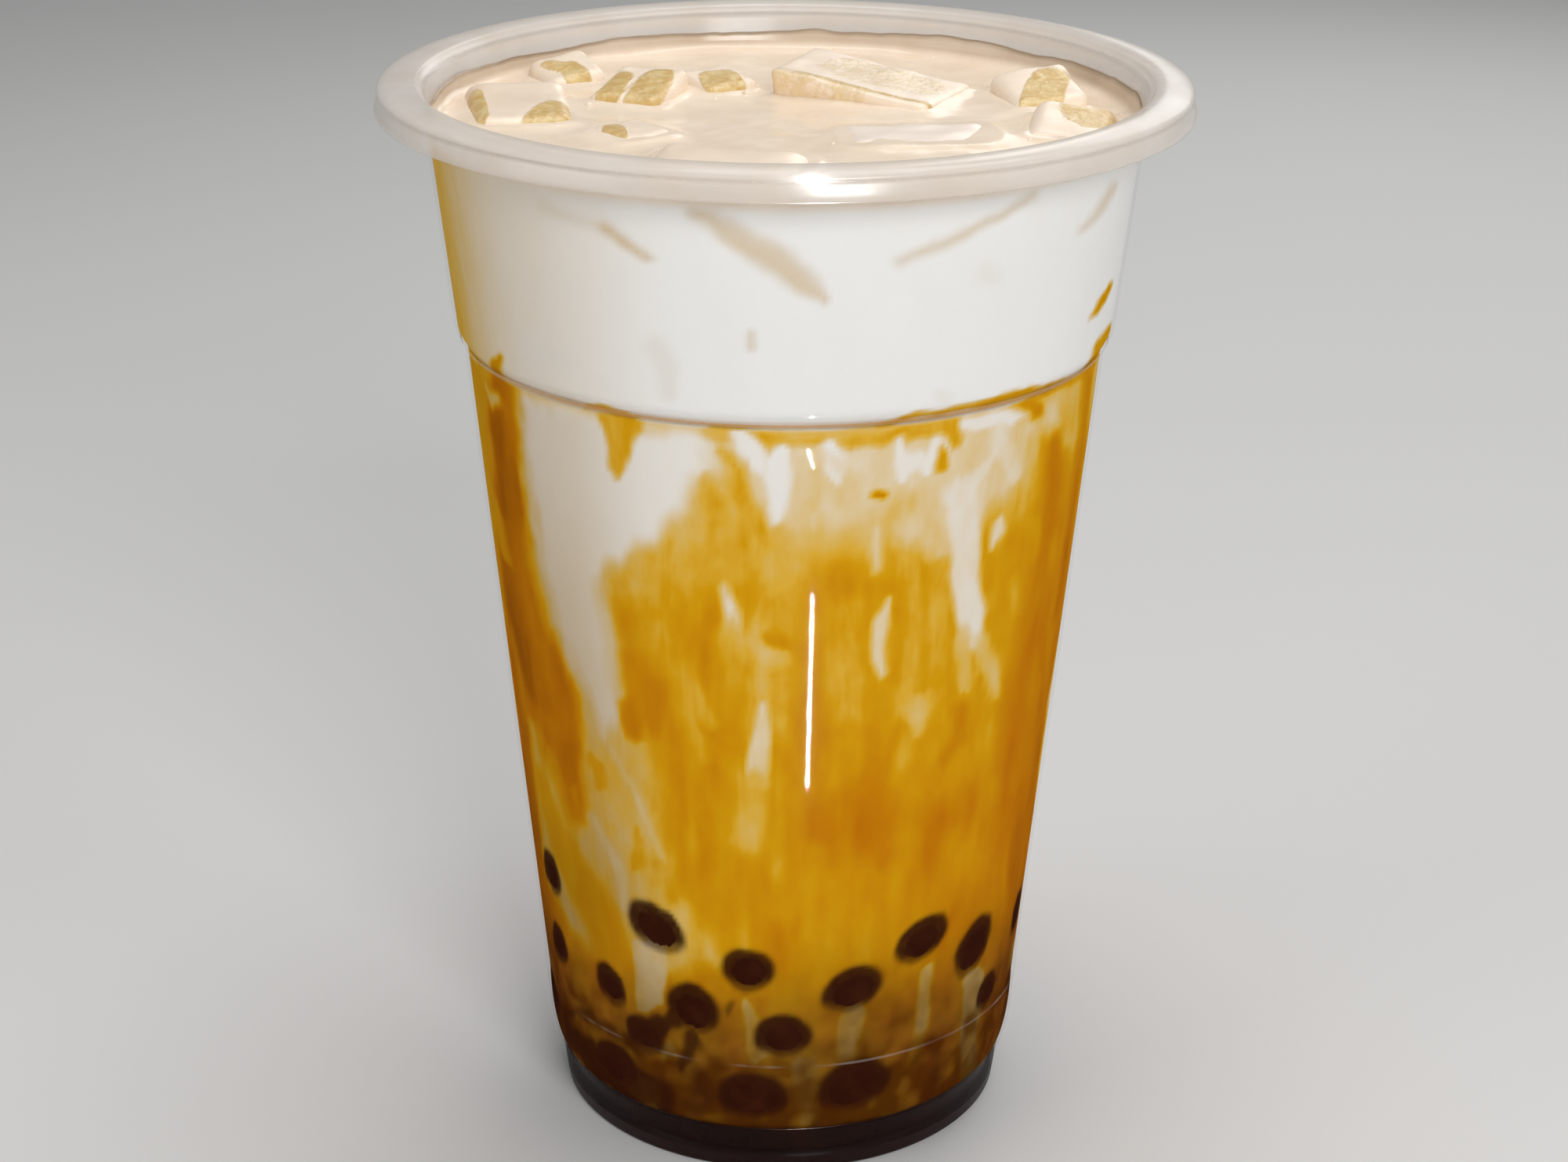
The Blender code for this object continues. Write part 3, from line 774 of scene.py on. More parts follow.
BELOW_STEP = streaks(
    # The left edge, and the broad brown band beside it.
    (0.6, 0.9, 1.12, (-81.2, 95.6, 0.88), (-79.4, 88.1, 0.99), (-78.4, 80.3, 0.99), (-78.9, 69.9, 0.88),
     (-81.6, 60.9, 0.77)),
    (0.86, 1, 0.84, (-57.6, 99.1, 1.43), (-60.4, 92, 2.42), (-60.1, 86.2, 1.87), (-63.3, 77.6, 2.42),
     (-62.4, 69.7, 3.3), (-56.4, 63.8, 3.63), (-53.7, 59.2, 2.97), (-50.8, 53.5, 1.65), (-48.9, 48.6, 1.1),
     (-47.9, 45.3, 0.55)),
    (0.98, 0.7, 1.4, (-61.7, 93.7, 0.88), (-62.3, 87.7, 0.99), (-69.4, 68.1, 1.1), (-62.7, 62.4, 1.32),
     (-58.9, 59.1, 0.99)),
    (0.62, 0.8, 0.7, (-76.2, 84.8, 0.44), (-68.7, 80.9, 0.77), (-66.6, 76.4, 0.44)),
    (0.36, 0.85, 0.7, (-63.8, 97.2, 0.77), (-61.7, 96.8, 0.88)),
    (0.9, 0.9, 0.49, (-76.7, 64.2, 0.33), (-72.5, 56.8, 0.44), (-71.1, 48.7, 0.55), (-71.4, 39.9, 0.66),
     (-69.5, 34.7, 0.77)),
    (0.5, 0.9, 0.84, (-63.3, 54.3, 0.66), (-61.2, 48.4, 1.54), (-58.9, 43.1, 2.2), (-58.1, 37.8, 2.64),
     (-58.4, 33.3, 2.64)),
    # Drips and patches under the step, left of the middle.
    (0.6, 0.95, 0.49, (-28.9, 99.1, 2.42), (-28.8, 97.1, 1.54), (-29.6, 94.6, 0.99), (-30.1, 93.1, 0.44)),
    (0.6, 0.9, 0.42, (-25.5, 99.5, 0.88), (-25, 98.9, 0.55)),
    (0.5, 0.9, 0.7, (-12.7, 99.2, 0.88), (-10.4, 98.7, 1.43), (-8.4, 99, 0.88)),
    (0.62, 0.9, 0.84, (-10.3, 96.2, 0.44), (-7.9, 94, 0.66), (-7.2, 91.1, 1.21), (-5, 88.8, 1.1),
     (-3.1, 86, 0.99)),
    (0.6, 0.8, 0.84, (-13.4, 93.5, 0.55), (-12.8, 90.9, 1.32), (-10.1, 88.3, 1.54)),
    (0.08, 0.95, 0.56, (-7.3, 98.9, 1.1), (-5.8, 97.3, 1.54), (-4.4, 95.2, 0.99)),
    (0.07, 0.95, 0.56, (-1.2, 97.1, 1.43), (-0.7, 94.1, 1.21), (-0.9, 91.3, 0.99), (-1.2, 89.2, 0.55)),
    # Amber, white blobs and the white W under the step, right of the middle.
    (0.6, 0.95, 0.56, (-3.2, 99.2, 0.66), (1.4, 98.7, 0.77), (5.3, 99.1, 0.55), (11.9, 98.6, 0.99),
     (17.4, 98.7, 0.88), (24.5, 99, 1.32), (29.7, 98.8, 1.54), (31.2, 97, 0.77)),
    (0.05, 0.95, 0.7, (7.7, 98.2, 0.88), (8.8, 96.1, 1.65), (8.4, 94.6, 1.1)),
    (0.28, 0.7, 1.12, (3, 96.9, 1.1), (6.1, 95.8, 1.32), (11.4, 95.8, 1.54)),
    (0.1, 0.95, 0.49, (19.8, 98.1, 0.55), (21.2, 95.4, 0.88), (20.9, 94, 0.44)),
    (0.12, 0.9, 0.49, (21.3, 95.6, 0.77), (24.2, 94.9, 0.99), (25.7, 93.8, 0.66)),
    (0.1, 0.9, 0.49, (26.8, 97.4, 0.44), (26.1, 95.2, 0.77), (25.7, 93.6, 0.44)),
    (0.7, 0.9, 0.42, (28.1, 95.5, 0.44), (28, 94.2, 0.66), (27.6, 93.3, 0.44)),
    (0.84, 0.95, 0.42, (16.5, 91.8, 0.44), (17.7, 91.7, 0.55)),
    # Milk under the step at the right, and the pale loops below it.
    (0.1, 0.95, 0.49, (32.9, 98.6, 0.77), (37.3, 98.6, 0.99), (42.1, 98.4, 0.88), (45.3, 98.4, 0.55)),
    (0.2, 0.9, 0.56, (40.7, 96.9, 0.55), (42, 93.7, 0.66), (44.8, 90.4, 0.66)),
    (0.32, 0.85, 0.56, (52.5, 98.5, 0.66), (56.9, 95.2, 0.55), (62, 91.5, 0.44)),
    (0.38, 0.8, 0.56, (49.9, 97.6, 0.55), (47.8, 95.5, 0.44), (47.6, 92.8, 0.44)),
    (0.52, 0.8, 1.68, (53, 93.8, 1.76), (55.4, 88.5, 1.54)),
    (0.76, 0.9, 0.7, (45, 99.7, 0.88), (48.8, 98.4, 0.88), (47.7, 97.6, 0.44)),
    # The long white streak with its two tails.
    (0.18, 0.95, 0.7, (39.6, 94, 0.55), (35.9, 92.6, 0.99), (31.8, 90.7, 1.65), (29.9, 88.4, 1.32)),
    (0.17, 1, 0.63, (32.5, 90.4, 1.54), (34.1, 85.2, 1.65), (35.3, 80.1, 1.76), (37.8, 74.7, 1.98),
     (38.9, 72, 1.54), (38.9, 70.7, 0.66)),
    (0.32, 0.9, 0.7, (28.2, 89, 0.99), (27.7, 86.5, 0.88), (28.7, 83.7, 0.66)),
    (0.38, 0.85, 0.7, (36.4, 71.7, 1.1), (37, 68.6, 0.77), (38.2, 65.3, 0.33)),
    (0.36, 0.85, 0.7, (41.1, 71, 0.99), (44.5, 66.9, 0.77), (47.2, 62.7, 0.44)),
    (0.24, 0.95, 0.49, (41.6, 85.6, 0.55), (42.1, 84.4, 0.66), (41.9, 83.4, 0.44)),
    # Clouds and drops in the middle.
    (0.26, 0.9, 1.12, (2.1, 89, 0.88), (6.1, 90.1, 1.43), (10.5, 89.6, 1.1), (13.8, 90.6, 0.99)),
    (0.46, 0.7, 2.24, (1.5, 86.5, 1.98), (8.4, 86.4, 2.2), (15.4, 87, 1.98), (22.5, 90.3, 1.54)),
    (0.3, 0.9, 0.7, (17.2, 86.9, 0.55), (16.6, 85, 0.77), (16.5, 82.9, 0.55)),
    (0.24, 0.95, 0.56, (18.6, 78.8, 0.44), (18, 75.1, 0.99), (18.3, 71.5, 0.77), (19.3, 69.1, 0.44)),
    (0.5, 0.8, 1.68, (10.9, 78.5, 1.76), (11.9, 74.5, 1.98), (11.4, 69.5, 1.98), (12.4, 64.9, 1.54)),
    (0.46, 0.9, 0.7, (26.9, 65.7, 0.55), (27.1, 63.5, 0.88), (27.5, 61.1, 0.66)),
    (0.56, 0.7, 1.26, (14.7, 59.6, 0.77), (14.9, 56.4, 0.77)),
    (0.5, 0.85, 0.7, (52.1, 84.2, 0.55), (53.5, 81.5, 0.66), (53.1, 79.5, 0.55)),
    (0.52, 0.85, 0.7, (47.7, 77.3, 0.66), (49.6, 74.2, 0.66), (50.5, 72.1, 0.44)),
    # Spots and pale triangles left of the middle.
    (0.18, 0.95, 0.63, (-10.9, 81.1, 0.33), (-10, 78.6, 0.66), (-8.9, 76.5, 0.88)),
    (0.5, 0.85, 1.26, (-9.5, 75.5, 1.43), (-5.2, 73.7, 1.54), (-0.9, 71.5, 1.43)),
    (0.5, 0.9, 0.56, (-15.5, 67.9, 0.22), (-15, 65.8, 0.66), (-14.2, 63.8, 1.1)),
    (0.28, 0.95, 0.49, (-3.5, 65.4, 0.33), (-3.7, 62.1, 0.88), (-4.2, 59, 1.21), (-4.7, 55.3, 1.32)),
    (0.52, 0.85, 1.12, (-5.4, 55.1, 1.65), (-6.1, 51, 1.87), (-6.7, 46.8, 1.54)),
    (0.8, 0.8, 0.7, (-1.9, 74.2, 0.88), (0.6, 73.6, 0.88)),
    (0.8, 0.7, 1.68, (-28.2, 69.3, 1.54), (-26, 66, 1.98), (-27.4, 61.2, 1.54)),
    (0.78, 0.9, 0.7, (-31.1, 63.3, 1.1), (-30.6, 60.3, 1.1), (-28.9, 59.1, 0.55)),
    (0.52, 0.85, 2.24, (-29.6, 79.1, 1.98), (-21.2, 83.3, 2.42), (-13.8, 85.1, 2.64), (-6.8, 83, 2.64),
     (0.2, 82.6, 2.2)),
    (0.56, 0.8, 0.84, (-15.4, 61, 0.88), (-15.7, 58.6, 0.77)),
    # Deeper amber lines, and the dark right edge.
    (0.8, 0.75, 0.84, (24, 61.3, 0.88), (20.3, 56, 0.77), (19.8, 49.2, 0.99), (20.9, 44.8, 1.1)),
    (0.8, 0.7, 1.12, (37.5, 62.6, 0.88), (37.7, 58.4, 0.99), (33.8, 55.9, 0.77)),
    (0.86, 0.75, 1.68, (55.9, 93.3, 1.32), (57.6, 85.1, 1.54), (56.7, 77.3, 1.76), (56.2, 69.3, 1.98),
     (57.2, 58.8, 1.98), (62.7, 46.8, 1.98), (67.4, 35.8, 1.76)),
    (0.9, 0.8, 1.12, (69.8, 98.4, 0.66), (71.4, 90.2, 0.66), (72.4, 82, 0.77), (71.9, 74.1, 0.77),
     (74, 63.2, 0.88), (77.1, 51.8, 0.99), (77.8, 40.8, 0.99), (79.2, 31.6, 0.99)),
    # Low in the middle.
    (0.66, 0.7, 1.68, (7.2, 42.5, 2.42), (0.6, 39.4, 2.2)),
    (0.52, 0.7, 1.26, (7, 46.8, 0.88), (6.6, 40.4, 0.66), (6.5, 34.9, 0.55)),
)

TAN_FIELD = streaks(
    (0.72, 0.92, 1.2, (-62, 48, 1.4), (-58, 42, 2.4), (-51, 37, 3.2), (-43, 31, 2.6), (-36, 25, 1.6)),
    (0.68, 0.9, 0.4, (-42.8, 55.6, 0.3), (-40.4, 54, 0.9), (-39.6, 52.3, 0.6), (-40.5, 51.1, 0.3)),
    (0.66, 0.9, 0.4, (-30.5, 46.4, 0.5), (-30.3, 43.6, 0.9), (-31.6, 41.3, 0.6)),
    (0.28, 0.6, 0.6, (-35.3, 57, 0.4), (-29.3, 50, 0.6), (-25.1, 44.1, 0.4)),
    (0.3, 0.6, 0.6, (-42.8, 46.6, 0.8), (-37.1, 41.2, 1), (-35.8, 36, 0.8)),
    (0.76, 0.85, 0.5, (-48.6, 48.6, 0.9), (-47.9, 45.3, 0.5)),
)

CURTAINS = streaks(
    (0.36, 0.95, 0.22, (-30, 30.5, 1.9), (-30.4, 26.3, 1.8), (-31.4, 23.6, 1.5), (-32.8, 21.7, 0.9)),
    (0.44, 0.9, 0.3, (-6.6, 24.3, 0.9), (-5.2, 21.4, 1.5), (-4.4, 17.5, 1.4)),
    (0.46, 0.85, 0.3, (16.6, 22.4, 1.6), (16.1, 20, 1.4), (15.6, 16.8, 1)),
    (0.42, 0.9, 0.3, (34.3, 27.1, 0.6), (34.5, 22.5, 1), (34.3, 18.3, 0.8)),
    (0.54, 0.7, 0.6, (33.8, 17.4, 1), (33.8, 13.3, 1)),
    (0.38, 0.95, 0.25, (51.8, 22.4, 1.5), (52.5, 17.6, 1.5), (51.6, 12.6, 0.9), (55.9, 6.2, 1.1)),
    (0.4, 0.9, 0.4, (80.1, 20.9, 0.5), (77.9, 18.9, 0.4)),
    (0.46, 0.9, 0.4, (5.4, 15.1, 1.3), (6.2, 11.6, 1.4), (7.3, 7.8, 1.2)),
    (0.46, 0.85, 0.3, (-27.8, 17, 0.5), (-26.7, 15.5, 0.8), (-25.5, 14.9, 0.5)),
)

STAINS = streaks(
    (1, 0.85, 0.7, (-67.7, 12.5, 0.78), (-63, 10.2, 2.08), (-53.3, 9.7, 3.12), (-43.3, 9.7, 3.38),
     (-34.7, 9.2, 3.12), (-31.2, 8.6, 1.82)),
    (1, 0.6, 0.5, (-76, 12, 0.52), (-54, 16.1, 0.78), (-41.9, 16.3, 0.91), (-35.6, 15.1, 1.04)),
    (1, 0.85, 0.4, (-20.7, 18.9, 0.9), (-21.7, 16.3, 0.7), (-23.5, 13.5, 0.6)),
    (1, 0.45, 0.8, (-19.4, 14.3, 1.4), (-18, 11.4, 1.6), (-20.8, 8.2, 1.2)),
    (1, 0.92, 0.6, (-36, 19, 0.9), (-32, 18, 1.5), (-27, 20, 1.5), (-23, 21.5, 1.6)),
    (1, 0.8, 0.4, (-29.1, 20.3, 1), (-24.4, 19.8, 0.8)),
    (1, 0.6, 0.4, (-10.7, 25.2, 0.5), (-11.7, 24.3, 0.4)),
    (1, 0.35, 0.8, (41.1, 13.2, 0.9), (41.7, 8.8, 0.9)),
    (1, 0.55, 0.5, (-44.1, 4.9, 0.4), (-28.2, 5.9, 0.5), (-15.1, 6, 0.6), (1.1, 5.7, 0.5), (17.4, 5.9, 0.5),
     (35.8, 5.6, 0.5), (59.2, 3.5, 0.5)),
)

PATCHES = (
    Patch(0.26, 0.85, 2.6, ((-12, 99), (10, 99.4), (35, 99.4), (53, 98), (51, 92), (41, 88), (31, 84),
          (18, 86.5), (6, 86.5), (-6, 90))),
    Patch(0.1, 1, 1.9, ((-53.3, 98.8), (-44.6, 99.3), (-35.4, 99.3), (-24.4, 99.2), (-13.1, 99.3),
          (-12.6, 97.8), (-12.1, 94.4), (-14.8, 93.2), (-16.9, 89.9), (-20.3, 87.7), (-22.1, 85.2),
          (-26, 84.9), (-28, 83.1), (-31.4, 81.6), (-33.5, 79.9), (-34.7, 78.1), (-34, 74.9), (-32.6, 71),
          (-33, 68.1), (-32.4, 64.9), (-31.3, 62.3), (-32.1, 60.1), (-37.4, 57.9), (-39.3, 58.7),
          (-41.2, 61.1), (-42.5, 64.3), (-45.6, 66.9), (-46.8, 69.7), (-49.1, 71.2), (-50.4, 74.8),
          (-52.6, 78), (-53, 82), (-52, 86), (-52.5, 91.2), (-52.3, 95.5))),
    Patch(0.47, 0.85, 1.8, ((-41.8, 62.4), (-37.3, 58.4), (-31.4, 61.4), (-29.9, 59.7), (-26.8, 59.1),
          (-25.3, 55.1), (-25, 52.3), (-24.5, 48), (-22.4, 44), (-21.9, 39.1), (-16.8, 36.1), (-13.7, 33.9),
          (-11.4, 31), (-20.7, 28.2), (-39.7, 26.9), (-56.7, 28.1), (-65.3, 31.5), (-53.4, 39.5),
          (-46.6, 45.3), (-45.3, 54.6), (-44.5, 60.5))),
)

PEARL_TURNS = (
    (90, 0.85, 0.66), (90, 0.88, 0.68), (0, 1.15, 0.98), (-62, 1.12, 0.92), (-35, 1.15, 0.95),
    (-40, 1.10, 0.86), (-70, 0.97, 0.89), (0, 0.93, 0.91), (0, 1.08, 0.84), (0, 0.97, 0.91),
    (28, 1.06, 0.84), (12, 1.15, 0.95), (30, 0.98, 0.78), (55, 1.12, 0.86), (65, 0.92, 0.66),
    (80, 0.92, 0.85),
)

BACK_WEDGES = (
    ((96, 99.5), (122, 99.5), (124, 90), (116, 80), (113, 66), (107, 55), (103, 66), (101, 80), (95, 90)),
    ((158, 99.5), (196, 99.5), (198, 92), (186, 86), (182, 74), (178, 62), (172, 52), (168, 66), (163, 80),
     (156, 90)),
    ((226, 99.5), (248, 99.5), (246, 84), (240, 72), (236, 58), (232, 70), (228, 84)),
)


class WallPlaces:
    """Places on the inside of the wall, with the noise that bends and brushes the marks there."""

    def __init__(self, angle: ndarray, height: ndarray, seed: int, warp: float, fine_warp: float) -> None:
        """Works out the noise at the places.

        Args:
            angle: Angle of each place.
            height: Height of each place.
            seed: Seed of the noise.
            warp: How far marks are bent, in millimetres.
            fine_warp: The same, for the finer noise.
        """
        self.angle, self.height = angle, height
        self.side = (angle + 180) % 360 - 180
        self.radius = CUP.inside_radius(height)
        self.places = on_cup(self.radius, angle, height)
        self.grain = Grain(seed)
        self.bend = self.noise(4.0, 0.4) * warp + self.noise(1.3, 0.4, 50) * fine_warp
        around = np.radians(angle) * self.radius
        self.runs = self.grain.layers(np.stack([around / 1.5, height * 0 + 5, height / 16], axis=-1))
        self.brush = self.grain.layers(np.stack([around / 0.8 + 60, height * 0 + 9, height / 11], axis=-1), 2)
        seen = np.maximum(np.cos(np.radians(angle)), 0.35)
        self.bent = angle + np.degrees(self.bend / self.radius / seen)
        drawn_up = self.runs * 0.9 * smooth(STEP_HEIGHT, 96, height)
        self.lifted = height + (self.noise(5.0, shift=90) * warp * 1.4 + drawn_up)
        self.below = smooth(STEP_HEIGHT - 0.2, STEP_HEIGHT - 2.5, height)

    def noise(self, cell: float, squash: float = 1.0, shift: float = 0.0, count: int = 3) -> ndarray:
        """Layers of noise with cells of a size in millimetres, drawn out upwards by a squash below 1."""
        return self.grain.layers(self.places * (1, 1, squash) / cell + shift, count)

    def cover(self, mark: Mark) -> ndarray:
        """How much of each place a mark covers, with the mark's outline bent."""
        return mark.cover(self.bent, self.lifted, self.radius)


@dataclass
class Marbling:
    """Where milk, syrup and dark stains lie against the wall, and where painted shade darkens it."""

    seed: int = 21
    warp: float = 0.42
    fine_warp: float = 0.20
    faintness: float = 0.7
    line_rise: float = 0.25
    line_width: float = 0.34
    back_start: float = 88.0
    back_end: float = 274.0
    pearls: list = field(default_factory=list)

    def paint(self, angle: ndarray, height: ndarray) -> dict[str, ndarray]:
        """Works out the amounts at places on the wall.

        Args:
            angle: Angle of each place.
            height: Height of each place.

        Returns:
            The amounts "syrup", "dim", "dark" and "haze" by name.
        """
        wall = WallPlaces(angle, height, self.seed, self.warp, self.fine_warp)
        syrup, haze_and_shade = self._lay_marks(wall)
        syrup, haze_and_shade = self._tint(wall, syrup, haze_and_shade)
        line = np.exp(-(((height - STEP_HEIGHT - self.line_rise) / self.line_width) ** 2))
        uneven = wall.noise(6.0, shift=20, count=1)
        haze_and_shade = np.maximum(haze_and_shade, line * (0.52 + 0.30 * uneven))
        syrup = syrup + (np.maximum(syrup, 0.62) - syrup) * line * (0.30 + 0.60 * smooth(0.3, 0.6, syrup))
        dim = np.maximum(line * (0.12 + 0.10 * uneven), self._shade(wall))
        amounts = {"syrup": syrup, "dim": dim, "dark": self._stain(wall), "haze_and_shade": haze_and_shade}
        return {name: np.clip(amount, 0, 1) for name, amount in amounts.items()}

    def _lay_marks(self, wall: WallPlaces) -> tuple[ndarray, ndarray]:
        """Lays every streak and patch over the ground, one after the other; gives syrup and haze."""
        height = wall.height
        ground = 0.03 * wall.runs + 0.015 * wall.brush + 0.075 * wall.noise(4.5, 0.55, 130)
        syrup = self._ground(wall) + wall.below * ground
        haze_and_shade = np.zeros(len(height))
        upper = [*MILK_ZONE, *self._back_milk_zone()]
        lower = [*PATCHES, *BELOW_STEP, *TAN_FIELD, *self._back_below(), *CURTAINS]
        for marks, zone in ((upper, smooth(STEP_HEIGHT - 1.6, STEP_HEIGHT - 0.6, height)),
                            (lower, 1 - smooth(STEP_HEIGHT - 0.6, STEP_HEIGHT + 0.2, height))):
            for mark in marks:
                share = wall.cover(mark) * zone
                amount = mark.amount
                if marks is upper and mark.amount < Taste.TAN.value:
                    haze_and_shade = np.maximum(haze_and_shade, share * self.faintness * mark.amount)
                    amount = self.faintness * mark.amount
                syrup = syrup + (amount - syrup) * share
        return syrup, haze_and_shade

    @staticmethod
    def _tint(wall: WallPlaces, syrup: ndarray, haze_and_shade: ndarray) -> tuple[ndarray, ndarray]:
        """Brushes the tan parts, lays a painted shade on the left side, greys the low part; gives syrup and
        haze.
        """
        tinted = smooth(0.08, 0.22, syrup) * smooth(0.75, 0.5, syrup) * wall.below
        syrup = syrup + tinted * (0.02 * wall.runs + 0.02 * wall.brush + 0.05 * wall.noise(1.8, 0.6, 11))
        # Painted shade: the left side, turned from the light, is veiled grey-tan and given a little more
        # syrup.
        left = smooth(-17, -44, wall.side) * smooth(-150, -90, wall.side) * wall.below
        deeper = smooth(96, 60, wall.height)
        haze_and_shade = np.maximum(haze_and_shade, (0.14 + 0.20 * deeper) * left * smooth(0.72, 0.42, syrup))
        # Greyer towards the bottom.
        haze_and_shade = np.maximum(haze_and_shade, 0.24 * smooth(30, 14, wall.height))
        return syrup + (0.07 + 0.06 * deeper) * left * smooth(0.36, 0.12, syrup), haze_and_shade

    @staticmethod
    def _ground(wall: WallPlaces) -> ndarray:
        """Syrup before any streak: milk above the step, and amber below it, deeper lower down."""
        height, side = wall.height, np.abs(wall.side)
        left = wall.side < 0
        below = 0.47 + 0.17 * smooth(96, 78, height) + 0.05 * smooth(66, 48, height)
        below = below + smooth(50, 72, side) * np.where(left, 0.15, 0.10 * smooth(96, 70, height))
        below = below + 0.07 * smooth(54, 34, height) * smooth(15, 50, side)
        edge = 0.12 * smooth(12, 48, side) + 0.34 * smooth(46, 80, side)
        above = Taste.MILK.value + edge * (1 - smooth(96, 118, side)) * left
        return np.where(height > STEP_HEIGHT - 0.1, above, below)

    @staticmethod
    def _shade(wall: WallPlaces) -> ndarray:
        """How much the drink darkens: towards the bottom, and a painted shade on the left side, away from the
        light.
        """
        turn = np.radians(wall.angle)
        start = 40 - 3 * np.cos(turn) + 2.5 * np.sin(3 * turn)
        low = 0.84 * smooth(start, 14, wall.height) + 0.15 * smooth(20, 9, wall.height)
        # Painted shade at the left, deeper lower down, for the side turned from the light.
        left = smooth(-18, -52, wall.side) * smooth(-150, -90, wall.side)
        return np.maximum(low * (1 + 0.22 * wall.noise(2.6, shift=70)),
                          (0.13 + 0.24 * smooth(50, 34, wall.height)) * left)

    def _stain(self, wall: WallPlaces) -> ndarray:
        """Dark syrup that lies low down and round the pearls."""
        turn = (wall.angle + 360) % 360
        side = smooth(75, 100, turn) * (1 - smooth(262, 285, turn))
        level = 14 + 4.5 * wall.noise(9, 0.2, 33)
        dark = 0.85 * side * smooth(0.8, -0.8, wall.height - level)
        for mark in STAINS:
            dark = np.maximum(dark, wall.cover(mark))
        for pearl in self.pearls:
            dark = np.maximum(dark, pearl.halo(wall.bent, wall.height + 0.6 * wall.bend, wall.radius))
        return dark

    def _draw_streaks(self, draw: np.random.Generator, count: int, high: float, low: float,
                      lengths: tuple, widths: tuple, amounts: tuple) -> list[Streak]:
        """Draws upright streaks round the back.

        Args:
            draw: The random draws.
            count: Number of streaks.
            high: Greatest height of a streak's top.
            low: Least height of a streak's top.
            lengths: Least and greatest length.
            widths: Least and greatest half width.
            amounts: Least and greatest amount of syrup.

        Returns:
            The streaks.
        """
        found = []
        for angle in np.linspace(self.back_start, self.back_end, count):
            start = angle + draw.uniform(-5, 5)
            top = draw.uniform(low, high)
            length = draw.uniform(*lengths)
            width = draw.uniform(*widths)
            lean = draw.uniform(-4, 4)
            steps = ((0, 0.5), (0.3, 1.0), (0.65, 0.8), (1.0, 0.25))
            points = tuple((start + lean * share + draw.uniform(-1, 1), top - length * share, width * part)
                           for share, part in steps)
            found.append(Streak(draw.uniform(*amounts), 0.92, 0.5, points))
        return found

    def _back_milk_zone(self) -> list[Streak]:
        """Contacts of the ice and drops of syrup in the milk round the back."""
        draw = np.random.default_rng(self.seed + 1)
        found = []
        for angle in (104, 131, 163, 196, 224, 251):
            turn = draw.choice((-1, 1)) * draw.uniform(8, 14)
            top = draw.uniform(121, 124.5)
            width = draw.uniform(0.5, 1.2)
            points = ((angle, top, width * 0.5), (angle + turn * 0.5, top - 2, width),
                      (angle + turn, top - 5, 0.3))
            found.append(Streak(draw.uniform(0.3, 0.4), 0.85, 0.45, points))
        for angle in (96, 140, 182, 237, 268):
            points = ((angle, 102.5, 0.6), (angle + 1, 101, 1.2), (angle, 99, 1.5))
            found.append(Streak(0.72, 0.9, 0.4, points))
        return found

    def _back_below(self) -> list:
        """Wedges and streaks of milk and syrup below the step round the back."""
        draw = np.random.default_rng(self.seed + 2)
        wedges = [Patch(Taste.MILK.value + 0.02, 1.0, 0.8, corners) for corners in BACK_WEDGES]
        syrup = self._draw_streaks(draw, 9, 99, 80, (25, 52), (1.6, 3.4), (0.82, 1.0))
        pale = self._draw_streaks(draw, 15, 97, 58, (7, 24), (0.6, 1.5), (0.10, 0.40))
        haze_and_shade = self._draw_streaks(draw, 12, 96, 50, (10, 20), (1.8, 3.2), (0.46, 0.60))
        return [*haze_and_shade, *wedges, *syrup, *pale]

